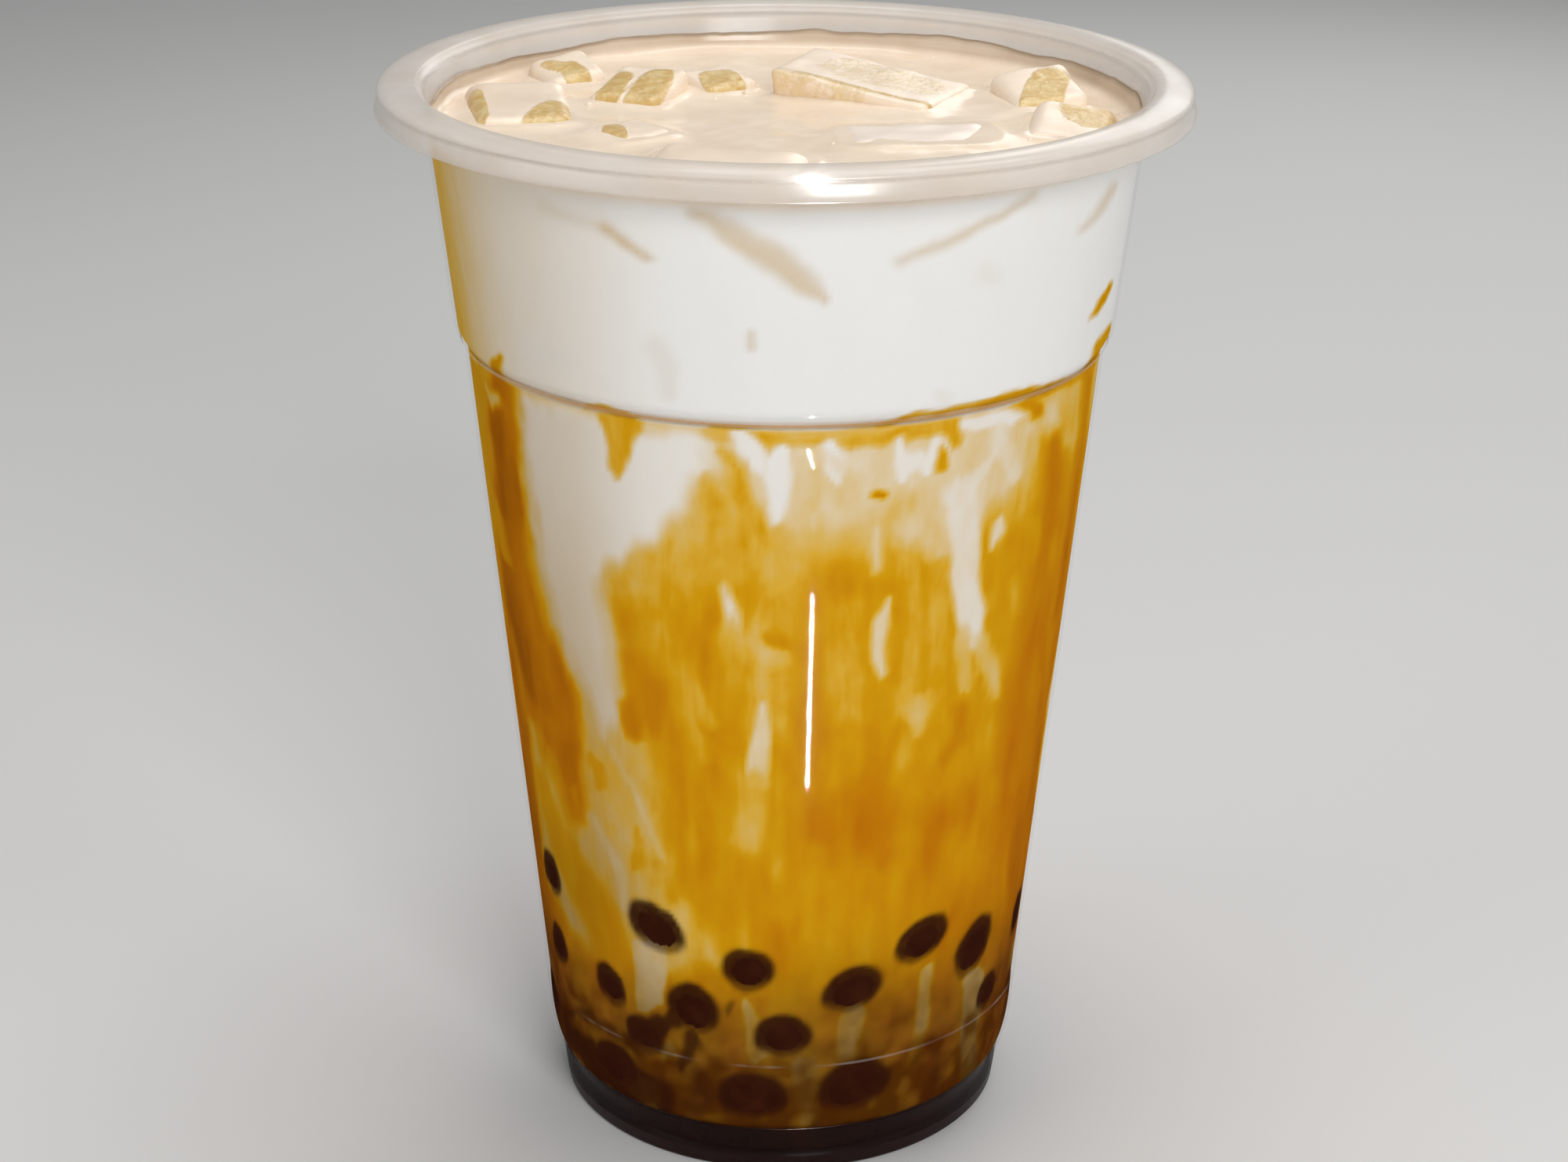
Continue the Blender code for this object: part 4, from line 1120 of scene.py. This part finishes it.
@dataclass
class Scatter:
    """Balls of any size put at points by Geometry Nodes."""

    name: str
    rings: int
    segments: int
    swell: float
    lump_scale: float = 260.0
    places: list = field(default_factory=list)
    facings: list = field(default_factory=list)
    sizes: list = field(default_factory=list)

    def add(self, place: ndarray, facing: tuple, size: tuple) -> None:
        """Adds a ball: its middle and half sizes in millimetres, and its turn as Euler angles."""
        self.places.append(tuple(np.array(place) * MM))
        self.facings.append(tuple(facing))
        self.sizes.append(tuple(np.array(size) * MM))

    def _tree(self, material: Material) -> NodeTree:
        """Builds the Geometry Nodes tree that puts a ball at each point."""
        tree = bpy.data.node_groups.new(self.name + "_on_points", "GeometryNodeTree")
        sockets = (("Points", "INPUT", "NodeSocketGeometry"), ("Rings", "INPUT", "NodeSocketInt"),
                   ("Segments", "INPUT", "NodeSocketInt"), ("Swell", "INPUT", "NodeSocketFloat"),
                   ("Balls", "OUTPUT", "NodeSocketGeometry"))
        for name, side, kind in sockets:
            tree.interface.new_socket(name, in_out=side, socket_type=kind)

        def add(kind: str, settings: dict | None = None, **inputs: object) -> Node:
            """Adds a node with its properties, then its inputs by name."""
            node = tree.nodes.new(kind)
            for key, setting in (settings or {}).items():
                setattr(node, key, setting)
            for key, content in inputs.items():
                if isinstance(content, NodeSocket):
                    tree.links.new(content, node.inputs[key.replace("_", " ")])
                else:
                    node.inputs[key.replace("_", " ")].default_value = content
            return node

        given = add("NodeGroupInput").outputs
        ball = add("GeometryNodeMeshUVSphere", Segments=given["Segments"], Rings=given["Rings"], Radius=1.0)
        vector = {"data_type": "FLOAT_VECTOR"}
        facing = add("GeometryNodeInputNamedAttribute", vector, Name="facing").outputs["Attribute"]
        size = add("GeometryNodeInputNamedAttribute", vector, Name="size").outputs["Attribute"]
        rotation = add("FunctionNodeEulerToRotation", Euler=facing).outputs[0]
        put = add("GeometryNodeInstanceOnPoints", Points=given["Points"], Instance=ball.outputs["Mesh"],
                  Rotation=rotation, Scale=size)
        real = add("GeometryNodeRealizeInstances", Geometry=put.outputs["Instances"])
        lumps = add("ShaderNodeTexNoise", Scale=self.lump_scale, Detail=1.0)
        centred = add("ShaderNodeVectorMath", {"operation": "SUBTRACT"})
        tree.links.new(lumps.outputs["Color"], centred.inputs[0])
        centred.inputs[1].default_value = (0.5, 0.5, 0.5)
        scaled = add("ShaderNodeVectorMath", {"operation": "SCALE"}, Scale=given["Swell"])
        tree.links.new(centred.outputs[0], scaled.inputs[0])
        moved = add("GeometryNodeSetPosition", Geometry=real.outputs[0], Offset=scaled.outputs[0])
        dressed = add("GeometryNodeSetMaterial", Geometry=moved.outputs[0], Material=material)
        result = tree.nodes.new("NodeGroupOutput")
        tree.links.new(dressed.outputs[0], result.inputs[0])
        return tree

    def mesh(self, material: Material) -> Mesh:
        """Runs the tree.

        Args:
            material: The balls' finish.

        Returns:
            All balls as one plain mesh.
        """
        points = bpy.data.meshes.new(self.name + "_points")
        points.from_pydata(self.places, [], [])
        for name, rows in (("facing", self.facings), ("size", self.sizes)):
            points.attributes.new(name, "FLOAT_VECTOR", "POINT").data.foreach_set(
                "vector", np.array(rows, np.float32).ravel())
        source = linked(self.name + "_points", points)
        tree = self._tree(material)
        modifier = source.modifiers.new(self.name, "NODES")
        modifier.node_group = tree
        inputs = {item.name: item.identifier for item in tree.interface.items_tree if item.in_out == "INPUT"}
        modifier[inputs["Rings"]] = self.rings
        modifier[inputs["Segments"]] = self.segments
        modifier[inputs["Swell"]] = self.swell * MM
        graph = bpy.context.evaluated_depsgraph_get()
        mesh = bpy.data.meshes.new_from_object(source.evaluated_get(graph), depsgraph=graph)
        bpy.data.objects.remove(source)
        mesh.name = self.name
        mesh.shade_smooth()
        return mesh


@dataclass(frozen=True)
class Pearl:
    """One tapioca pearl pressed against the wall."""

    node: str
    angle: float
    height: float
    radius: float
    turn: float
    long: float
    short: float

    CONTACT = 0.80
    DARKNESS = 0.97
    EDGE = (0.96, 1.30)
    LIGHTER_BELOW = 0.30

    def halo(self, angle: ndarray, height: ndarray, radius: ndarray) -> ndarray:
        """How dark the drink is close to the pearl."""
        across = np.radians((angle - self.angle + 180) % 360 - 180) * radius
        up = height - self.height
        along, aside = turned(across, up, self.turn)
        reach = self.radius * self.CONTACT
        away = np.hypot(along / (reach * self.long), aside / (reach * self.short))
        under = 1 - self.LIGHTER_BELOW * smooth(-0.3, -1.0, up / reach) * (np.abs(across) < reach)
        return self.DARKNESS * (1 - smooth(*self.EDGE, away)) * under


@dataclass
class Pearls:
    """All pearls: squashed balls put at their places by Geometry Nodes, then pressed against the wall."""

    rings: int = 22
    segments: int = 34
    reach: float = 0.43
    depth: float = 0.70
    swell: float = 0.40
    crease: float = 21.0
    seed: int = 8

    def places(self, nodes: dict) -> list[Pearl]:
        """Reads the pearls' places from the source's solids.

        Args:
            nodes: The frame's nodes.

        Returns:
            The pearls in the order of their names.
        """
        draw = np.random.default_rng(self.seed)
        found = []
        for count, name in enumerate(sorted(n for n in nodes if n.startswith("pearl_"))):
            corners = np.array([v.co for v in nodes[name].data.vertices]) / MM
            middle = (corners.min(axis=0) + corners.max(axis=0)) / 2
            radius = float(corners[:, 2].max() - corners[:, 2].min()) / 2
            angle = math.degrees(math.atan2(corners[:, 0].mean(), -corners[:, 1].mean()))
            drawn = (draw.uniform(-60, 60), draw.uniform(0.98, 1.12), draw.uniform(0.78, 0.92))
            shape = PEARL_TURNS[count] if count < len(PEARL_TURNS) else drawn
            found.append(Pearl(name, angle, float(middle[2]), radius, *shape))
        return found

    def build(self, pearls: list[Pearl], material: Material) -> Object:
        """Makes the pearls as one piece.

        Args:
            pearls: Their places.
            material: Their finish.

        Returns:
            The piece, in place of all the source's pearls.
        """
        scatter = Scatter("pearls", self.rings, self.segments, self.swell)
        for pearl in pearls:
            wall = float(CUP.inside_radius(pearl.height))
            above, below = (float(CUP.inside_radius(pearl.height + step)) for step in (1.5, -1.5))
            lean = math.atan2(above - below, 3.0)
            middle = on_cup(np.array(wall - self.depth * pearl.radius), np.array(pearl.angle),
                            np.array(pearl.height))
            basis = (Matrix.Rotation(math.radians(pearl.angle), 3, "Z") @ Matrix.Rotation(lean, 3, "X")
                     @ Matrix.Rotation(-math.radians(pearl.turn), 3, "Y"))
            size = (pearl.radius * pearl.long, pearl.radius, pearl.radius * pearl.short)
            scatter.add(middle, basis.to_euler("XYZ"), size)
        mesh = scatter.mesh(material)
        self._press(mesh)
        mesh.set_sharp_from_angle(angle=math.radians(self.crease))
        piece = linked("pearls", mesh)
        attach(piece, "root")
        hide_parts(*[pearl.node for pearl in pearls])
        return piece

    def _press(self, mesh: Mesh) -> None:
        """Flattens what lies beyond the wall's inside onto it."""
        places = np.empty(len(mesh.vertices) * 3, np.float32)
        mesh.vertices.foreach_get("co", places)
        places = places.reshape(-1, 3) / MM
        radius = np.hypot(places[:, 0], places[:, 1])
        limit = CUP.inside_radius(places[:, 2]) + self.reach
        share = np.where(radius > limit, limit / np.maximum(radius, 1e-6), 1.0)
        places[:, :2] *= share[:, None]
        mesh.vertices.foreach_set("co", (places * MM).astype(np.float32).ravel())
        mesh.update()


@dataclass(frozen=True)
class Window:
    """A bare place on the ice, free of milk: its middle, half sizes, turn and how bare it is."""

    x: float
    y: float
    long: float
    wide: float
    turn: float
    strength: float = 1.0

    def cover(self, x: ndarray, y: ndarray) -> ndarray:
        """Says how bare each place is."""
        along, aside = turned(x - self.x, y - self.y, self.turn)
        away = np.abs(along / self.long) ** 3 + np.abs(aside / self.wide) ** 3
        return (1 - smooth(0.55, 1.35, away)) * self.strength


@dataclass(frozen=True)
class IceBlock:
    """One piece of ice, as the source has it, with its own slope towards the back and bare windows."""

    node: str
    x: float
    y: float
    top: float
    length: float
    width: float
    depth: float
    turn: float
    tilt: float
    rounding: float
    slope: float = 0.0
    frost: float = 0.0
    windows: tuple = ()
    steps: int = 26
    taper: float = 0.84
    skew: tuple = (0.05, 0.05, 0.01)
    unevenness: float = 0.16
    wall_gap: float = 0.02
    grain_seed: int = 100
    crowding: float = 0.98

    def distance(self, x: ndarray, y: ndarray) -> ndarray:
        """Distance of places in plan from the block's outline, negative inside it."""
        along, aside = turned(x - self.x, y - self.y, self.turn)
        corner = max(self.rounding, 1.0)
        over = np.stack([np.abs(along) - self.length / 2 + corner, np.abs(aside) - self.width / 2 + corner])
        return np.hypot(*np.maximum(over, 0)) + np.minimum(over.max(axis=0), 0) - corner

    def build(self, material: Material, seed: int) -> Object:
        """Makes the block: a rounded, uneven box whose top breaks the surface.

        Args:
            material: Its finish.
            seed: Seed of its unevenness.

        Returns:
            The piece, in place of the source's block.
        """
        places, faces = self._rounded_box()
        places = self._melt(self._put(places, seed), Grain(seed + self.grain_seed))
        bare = np.zeros(len(places))
        for window in self.windows:
            bare = np.maximum(bare, window.cover(places[:, 0], places[:, 1]))
        amounts = {"bare": bare, "frost": np.full(len(places), self.frost)}
        piece = mesh_piece(self.node.replace("ice", "ice_block"), places, faces, material, amounts)
        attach(piece, "root")
        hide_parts(self.node)
        return piece

    def _put(self, places: ndarray, seed: int) -> ndarray:
        """Skews and tapers the box, and puts it at its place in the cup."""
        half = np.array([self.length, self.width, self.depth]) / 2
        corners = np.random.default_rng(seed).uniform(-1, 1, (2, 2, 2, 3)) * half * self.skew
        share = np.clip(places / half / 2 + 0.5, 0, 1)
        for index, weight in corner_weights(share):
            places = places + weight[:, None] * corners[index]
        narrow = self.taper + (1 - self.taper) * share[:, 2:3]
        places = places * np.hstack([narrow, narrow, np.ones_like(narrow)])
        places[:, 2] -= half[2]
        places[:, 2] += share[:, 2] * np.sin(math.radians(self.tilt)) * -places[:, 0]
        x, y = turned(places[:, 0], places[:, 1], -self.turn)
        z = places[:, 2] + share[:, 2] * (y * self.slope)
        return np.stack([x + self.x, y + self.y, z + self.top], axis=-1)

    def _melt(self, places: ndarray, grain: Grain) -> ndarray:
        """Makes the faces uneven and keeps the block inside the cup."""
        places += self.unevenness * np.stack([grain.layers(places / 3.2 + k * 40) for k in range(3)], axis=-1)
        edge = CUP.inside_radius(places[:, 2]) - self.wall_gap
        radius = np.hypot(places[:, 0], places[:, 1])
        places[:, :2] *= np.minimum(1, edge / np.maximum(radius, 1e-6))[:, None]
        return places

    def _rounded_box(self) -> tuple[ndarray, list]:
        """Vertices and faces of a box with rounded edges and many faces."""
        half = np.array([self.length, self.width, self.depth]) / 2
        shape = bmesh.new()
        bmesh.ops.create_cube(shape, size=2.0)
        bmesh.ops.subdivide_edges(shape, edges=shape.edges[:], cuts=self.steps, use_grid_fill=True)
        places = np.array([v.co for v in shape.verts])
        faces = [tuple(v.index for v in f.verts) for f in shape.faces]
        shape.free()
        places = np.sin(places * math.pi / 2 * self.crowding) / math.sin(math.pi / 2 * self.crowding) * half
        core = np.clip(places, -half + self.rounding, half - self.rounding)
        out = places - core
        size = np.linalg.norm(out, axis=1)
        limit = self.rounding / np.maximum(size, 1e-9)
        return core + out * np.where(size > 1e-9, limit, 1.0)[:, None], faces


ICE_BLOCKS = (
    IceBlock("ice_01", -31.4, 2.0, 127.4, 12.5, 17, 15, 8, 0, 2.2, 0.09,
             windows=(Window(-36.2, -0.5, 1.4, 6.4, 8), Window(-27.0, -5.2, 3.5, 7.0, -14))),
    IceBlock("ice_02", -27.0, 19.5, 127.8, 8, 8.5, 12, 25, -3, 1.6, 0.20,
             windows=(Window(-25.4, 16.4, 1.6, 4.4, 24), Window(-27.8, 19.2, 2.6, 1.4, -30, 0.8))),
    IceBlock("ice_03", -17.6, 9.5, 127.9, 9.5, 11, 13, -20, -4, 1.5, 0.20,
             windows=(Window(-20.6, 8.0, 1.6, 5.6, -14), Window(-16.3, 7.2, 2.3, 6.4, -14))),
    IceBlock("ice_04", -8.4, 15.6, 127.5, 8, 8, 11, 35, 3, 1.6, 0.16,
             windows=(Window(-7.6, 13.6, 2.7, 3.9, 14),)),
    IceBlock("ice_05", 10.3, 13.2, 127.9, 20.5, 14.5, 15, -25, 8, 0.9, 0.0,
             windows=(Window(3.6, 8.6, 6.8, 2.4, -25, 0.50), Window(10.5, 7.0, 10.5, 0.55, -27, 1.0),
                      Window(12.0, 14.0, 8.5, 5.0, -25, 0.44))),
    IceBlock("ice_06", 30.5, 10.0, 127.9, 9.5, 11, 13, 15, -3, 1.5, 0.22,
             windows=(Window(30.9, 7.6, 2.6, 6.6, -14),)),
    IceBlock("ice_07", 33.0, -5.5, 126.9, 10.5, 13, 14, -12, 2, 2.0, 0.14,
             windows=(Window(35.4, -3.2, 3.2, 4.4, 16, 0.85),)),
    IceBlock("ice_08", 15.2, -9.5, 126.3, 19, 12, 15, 8, 1, 2.6, 0.03, 0.8),
    IceBlock("ice_09", -6.8, -26.5, 126.9, 19, 17, 16, -15, 0, 3.0, 0.04,
             windows=(Window(0.2, -20.0, 1.2, 2.6, 20, 0.8), Window(-7.5, -19.2, 7.5, 0.8, -15, 0.6),)),
    IceBlock("ice_10", -17.5, -9.0, 126.5, 8.5, 8.5, 11, 40, 2, 1.9, 0.10,
             windows=(Window(-19.4, -10.4, 1.5, 3.0, 10, 0.8),)),
)


@dataclass
class Filling:
    """A part of the drink that fills the cup and reaches just into its wall."""

    columns: int = 480
    reach: float = 0.40
    marbling: Marbling = field(default_factory=Marbling)

    def angles(self) -> ndarray:
        """Angle of each column."""
        return np.arange(self.columns) * 360 / self.columns - 180

    def closed(self, name: str, rings: list[ndarray], bottom: float, top: float,
               material: Material, amounts: dict[str, ndarray]) -> Object:
        """Joins rings, from the bottom up and then inwards, to a closed piece.

        Args:
            name: The piece's name.
            rings: Places of each ring.
            bottom: Height of the middle of its underside.
            top: Height of the middle of its top.
            material: Its finish.
            amounts: Numbers at the vertices, ring by ring, then at both middles.

        Returns:
            The new object.
        """
        count = len(rings) * self.columns
        ends = np.array([[0, 0, bottom], [0, 0, top]])
        faces = ring_faces(len(rings), self.columns)
        last = count - self.columns
        for c in range(self.columns):
            after = (c + 1) % self.columns
            faces.append((count, after, c))
            faces.append((count + 1, last + c, last + after))
        return mesh_piece(name, np.concatenate([*rings, ends]), faces, material, amounts)

    def wall_ring(self, height: ndarray) -> ndarray:
        """One ring at the wall, at a height for each column."""
        return on_cup(CUP.inside_radius(height) + self.reach, self.angles(), height)


@dataclass
class MilkTea(Filling):
    """The marbled milk tea below the step in the wall."""

    rows: int = 190

    def build(self, material: Material) -> Object:
        """Makes the milk tea.

        Args:
            material: Its finish.

        Returns:
            The piece, in place of the source's milk tea.
        """
        heights = np.linspace(FOOT_TOP, STEP_HEIGHT, self.rows)
        rings = [self.wall_ring(np.full(self.columns, height)) for height in heights]
        amounts = self.marbling.paint(np.tile(self.angles(), self.rows), np.repeat(heights, self.columns))
        amounts = {key: np.append(numbers, [1.0, 0.1]) for key, numbers in amounts.items()}
        amounts["cream"] = np.zeros(len(amounts["dim"]))
        piece = self.closed("milk_tea_body", rings, FOOT_TOP, STEP_HEIGHT, material, amounts)
        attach(piece, "root")
        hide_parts("milk_tea")
        return piece


@dataclass
class Milk(Filling):
    """The white milk above the step, with the film it leaves on the wall above its level."""

    rows: int = 60
    film_top: float = 127.75
    film_rise: float = 0.55
    film_thickness: float = 0.30
    film_shares: tuple = (0.15, 0.4, 0.65, 0.85)
    film_foot: tuple = ((0.55, 0.50), (0.8, 0.30), (1.2, 0.14), (1.7, 0.05))
    open_radius: float = 39.2
    middle_radius: float = 0.6
    ring_step: float = 0.62
    swell: float = 0.60
    swell_reach: float = 1.3
    greatest_swell: float = 1.3
    seed: int = 31
    film_seed: int = 47
    blocks: tuple = ()

    def surface(self, x: ndarray, y: ndarray) -> ndarray:
        """Height of the milk's surface in plan, drawn up a little at the ice."""
        places = np.stack([x, y, 0 * x], axis=-1)
        grain = Grain(self.seed)
        height = LEVEL_HEIGHT + 0.16 * grain.layers(places / 9.0) + 0.05 * grain.layers(places / 2.5 + 9)
        for block in self.blocks:
            height = height + self.swell * np.exp(-np.maximum(block.distance(x, y), 0) / self.swell_reach)
        return np.minimum(height, LEVEL_HEIGHT + self.greatest_swell)

    def build(self, material: Material) -> Object:
        """Makes the milk.

        Args:
            material: Its finish.

        Returns:
            The piece, in place of the source's milk.
        """
        around = on_cup(np.full(self.columns, 10.0), self.angles(), np.zeros(self.columns))
        film_top = self.film_top + self.film_rise * Grain(self.film_seed).layers(around / 2.6, 4)
        wall = [self.wall_ring(STEP_HEIGHT + (film_top - STEP_HEIGHT) * share)
                for share in np.linspace(0, 1, self.rows)]
        film = self._film_rings(film_top)
        radii = np.arange(self.open_radius, self.middle_radius, -self.ring_step)
        rings = [*wall, *film, *[self._surface_ring(radius) for radius in radii]]
        amounts = self._amounts(rings, len(wall), len(wall) + len(film), np.tile(film_top, len(rings)))
        middle = float(self.surface(np.zeros(1), np.zeros(1))[0])
        piece = self.closed("milk_top", rings, STEP_HEIGHT, middle, material, amounts)
        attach(piece, "root")
        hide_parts("milk")
        return piece

    def _film_rings(self, film_top: ndarray) -> list[ndarray]:
        """Rings of the film on the inside of the wall, down to where it runs into the surface."""
        rings = [on_cup(CUP.inside_radius(film_top) - 0.05, self.angles(), film_top + 0.02)]
        for share in self.film_shares:
            height = film_top + (LEVEL_HEIGHT + 0.75 - film_top) * share
            radius = CUP.inside_radius(height) - self.film_thickness * (0.4 + share)
            rings.append(on_cup(radius, self.angles(), height))
        level_radius = float(CUP.inside_radius(LEVEL_HEIGHT))
        return rings + [self._surface_ring(level_radius - inward, lift) for inward, lift in self.film_foot]

    def _surface_ring(self, radius: float, lift: float = 0.0) -> ndarray:
        """One ring on the milk's surface, or a little above it."""
        ring = on_cup(np.full(self.columns, radius), self.angles(), np.zeros(self.columns))
        ring[:, 2] = self.surface(ring[:, 0], ring[:, 1]) + lift
        return ring

    def _amounts(self, rings: list[ndarray], wall_end: int, film_end: int,
                 film_top: ndarray) -> dict[str, ndarray]:
        """Works out the amounts that the milk carries.

        Args:
            rings: Places of each ring.
            wall_end: Number of rings on the wall.
            film_end: Number of rings on the wall and the film.
            film_top: Height of the film's upper edge at each place.

        Returns:
            The amounts at the rings' places and at both middles.
        """
        height = np.concatenate(rings)[:, 2]
        amounts = self.marbling.paint(np.tile(self.angles(), len(rings)), height)
        ring_of = np.repeat(np.arange(len(rings)), self.columns)
        on_top = ring_of >= wall_end
        film = np.where(on_top & (ring_of < film_end), 1.0, 0.0)
        above = smooth(LEVEL_HEIGHT + 0.2, LEVEL_HEIGHT + 1.2, height)
        edge = smooth(0.42, 0.05, film_top - height)
        # Painted shade: the film above the level is dimmed; its grey upper edge is darker still.
        top = {"syrup": 0.1, "dark": 0.0, "haze_and_shade": 0.0, "dim": 0.38 * film * above + 0.42 * edge * film}
        amounts = {key: np.where(on_top, top[key], numbers) for key, numbers in amounts.items()}
        amounts["cream"] = np.where(on_top, 1.0, smooth(124.8, 126.2, height) * 0.8)
        middles = {"syrup": (0.1, 0.1), "cream": (0, 1)}
        return {key: np.append(numbers, middles.get(key, (0, 0))) for key, numbers in amounts.items()}


@dataclass
class Bubbles:
    """Small bubbles that float on the milk, in groups along the ice and the wall."""

    blocks: tuple
    count: int = 150
    least: float = 0.16
    most: float = 0.62
    wall_share: float = 0.45
    wall_radius: float = 40.6
    open_radius: float = 39.0
    gaps: tuple = (0.4, 1.6)
    sunk: float = 0.35
    flatness: float = 0.9
    rings: int = 8
    segments: int = 14
    seed: int = 17

    def build(self, milk: Milk, material: Material) -> Object:
        """Makes the bubbles.

        Args:
            milk: The milk that they float on.
            material: Their finish.

        Returns:
            The piece.
        """
        draw = np.random.default_rng(self.seed)
        scatter = Scatter("bubbles", self.rings, self.segments, 0.0)
        while len(scatter.places) < self.count:
            angle = math.radians(draw.uniform(0, 360))
            if draw.random() < self.wall_share:
                away = self.wall_radius - abs(draw.normal(0, 0.5))
            else:
                away = self.open_radius * math.sqrt(draw.random())
            x, y = np.array([away * math.sin(angle)]), np.array([-away * math.cos(angle)])
            gap = min(float(block.distance(x, y)[0]) for block in self.blocks)
            if gap < self.gaps[0] or (away < self.open_radius + 0.5 and gap > self.gaps[1]):
                continue
            size = self.least + (self.most - self.least) * draw.random() ** 3
            height = float(milk.surface(x, y)[0])
            scatter.add((x[0], y[0], height - size * self.sunk), (0, 0, draw.uniform(0, 3)),
                        (size, size, size * self.flatness))
        piece = linked("bubbles", scatter.mesh(material))
        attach(piece, "root")
        return piece


@dataclass
class FootSyrup(Filling):
    """The dark syrup that fills the foot."""

    columns: int = 240
    heights: tuple = (2.05, 2.25, 2.6, 3.0, 4.0, 5.0, 5.9, FOOT_TOP)

    def build(self, material: Material) -> Object:
        """Makes the syrup.

        Args:
            material: Its finish.

        Returns:
            The piece, in place of the source's syrup.
        """
        rings = [self.wall_ring(np.full(self.columns, height)) for height in self.heights]
        piece = self.closed("foot_syrup", rings, self.heights[0], FOOT_TOP, material, {})
        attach(piece, "root")
        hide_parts("syrup")
        return piece


@dataclass(frozen=True)
class PhotoCamera:
    """The camera of the photograph, in the object's own frame."""

    focal_px: float = 3903.4
    pitch: float = 21.48
    roll: float = 0.334
    place: tuple = (0.138, -353.77, 206.64)
    sensor: float = 36.0
    clip: tuple = (0.01, 20.0)

    def build(self) -> Object:
        """Makes the camera and gives it to the scene."""
        data = bpy.data.cameras.new("photo_camera")
        data.sensor_width = self.sensor
        data.lens = self.focal_px / FRAME_WIDTH * self.sensor
        data.clip_start, data.clip_end = self.clip
        camera = linked("photo_camera", data)
        pitch, roll = math.radians(self.pitch), math.radians(self.roll)
        forward = Vector((0, math.cos(pitch), -math.sin(pitch)))
        right = Vector((1, 0, 0))
        up = right.cross(forward)
        c, s = math.cos(roll), math.sin(roll)
        right, up = c * right + s * up, -s * right + c * up
        facing = Matrix((right, up, -forward)).transposed().to_4x4()
        camera.matrix_world = Matrix.Translation(Vector(self.place) * MM) @ facing
        bpy.context.scene.camera = camera
        return camera


@dataclass(frozen=True)
class Lamp:
    """A flat soft light that faces a point."""

    name: str
    place: tuple
    aim: tuple
    size: tuple
    watts: float
    gloss_only: bool = False

    def build(self) -> Object:
        """Makes the light."""
        data = bpy.data.lights.new(self.name, "AREA")
        data.shape = "RECTANGLE"
        data.size, data.size_y = self.size[0] * MM, self.size[1] * MM
        data.energy = self.watts
        lamp = linked(self.name, data)
        place, aim = Vector(self.place) * MM, Vector(self.aim) * MM
        facing = (aim - place).to_track_quat("-Z", "Y").to_matrix().to_4x4()
        lamp.matrix_world = Matrix.Translation(place) @ facing
        lamp.visible_camera = False
        lamp.visible_diffuse = not self.gloss_only
        return lamp


LAMPS = (
    Lamp("key_light", (190, -620, 430), (0, 0, 80), (260, 260), 2.6),
    Lamp("left_fill", (-640, -330, 240), (0, 0, 70), (420, 420), 1.35),
    Lamp("right_fill", (640, -300, 300), (0, 0, 70), (420, 420), 0.80),
    Lamp("top_light", (60, 160, 700), (0, 0, 100), (420, 420), 1.9),
    Lamp("back_light", (250, 620, 420), (0, 0, 90), (360, 360), 0.8),
    Lamp("flash_glint", (89, -346, 208), (6, -47, 129), (96, 34), 0.42, gloss_only=True),
    Lamp("streak_strip", (15.6, -97.8, 24.7), (6.5, -54.8, 91.6), (1.8, 28.4), 0.50, gloss_only=True),
)


@dataclass
class Studio:
    """Pale floor, soft light and the photograph's camera."""

    floor_size: float = 6000.0
    sky: tuple = linear(206, 208, 210)
    sky_strength: float = 0.40
    floor_drop: float = 0.02

    def build(self) -> None:
        """Makes the floor, the lights, the surrounding light and the camera."""
        half = self.floor_size / 2
        corners = np.array([[-half, -half, 0], [half, -half, 0], [half, half, 0], [-half, half, 0]], float)
        corners[:, 2] = -self.floor_drop
        floor = mesh_piece("floor", corners, [(0, 1, 2, 3)], PaleFloor().material())
        for lamp in LAMPS:
            lamp.build()
        world = bpy.data.worlds.new("studio")
        world.use_nodes = True
        background = world.node_tree.nodes["Background"]
        background.inputs["Color"].default_value = self.sky
        background.inputs["Strength"].default_value = self.sky_strength
        bpy.context.scene.world = world
        bpy.context.scene.view_settings.view_transform = "Standard"
        PhotoCamera().build()


def main() -> None:
    """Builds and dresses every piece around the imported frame."""
    logging.basicConfig(level=logging.INFO, format="%(name)s: %(message)s")
    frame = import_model()
    Studio().build()
    places = Pearls().places(frame["nodes"])
    marbling = Marbling(pearls=places)
    drink = Drink().material()
    milk = Milk(marbling=marbling, blocks=ICE_BLOCKS)
    pieces = [Cup().build(ClearPlastic().material()),
              MilkTea(marbling=marbling).build(drink),
              milk.build(drink),
              FootSyrup().build(Syrup().material()),
              Pearls().build(places, Tapioca().material())]
    ice = WetIce().material()
    pieces += [block.build(ice, ICE_SEED + count) for count, block in enumerate(ICE_BLOCKS)]
    pieces.append(Bubbles(ICE_BLOCKS).build(milk, Foam().material()))
    for piece in pieces:
        LOG.info("%s: %d vertices", piece.name, len(piece.data.vertices))


if __name__ == "__main__":
    main()
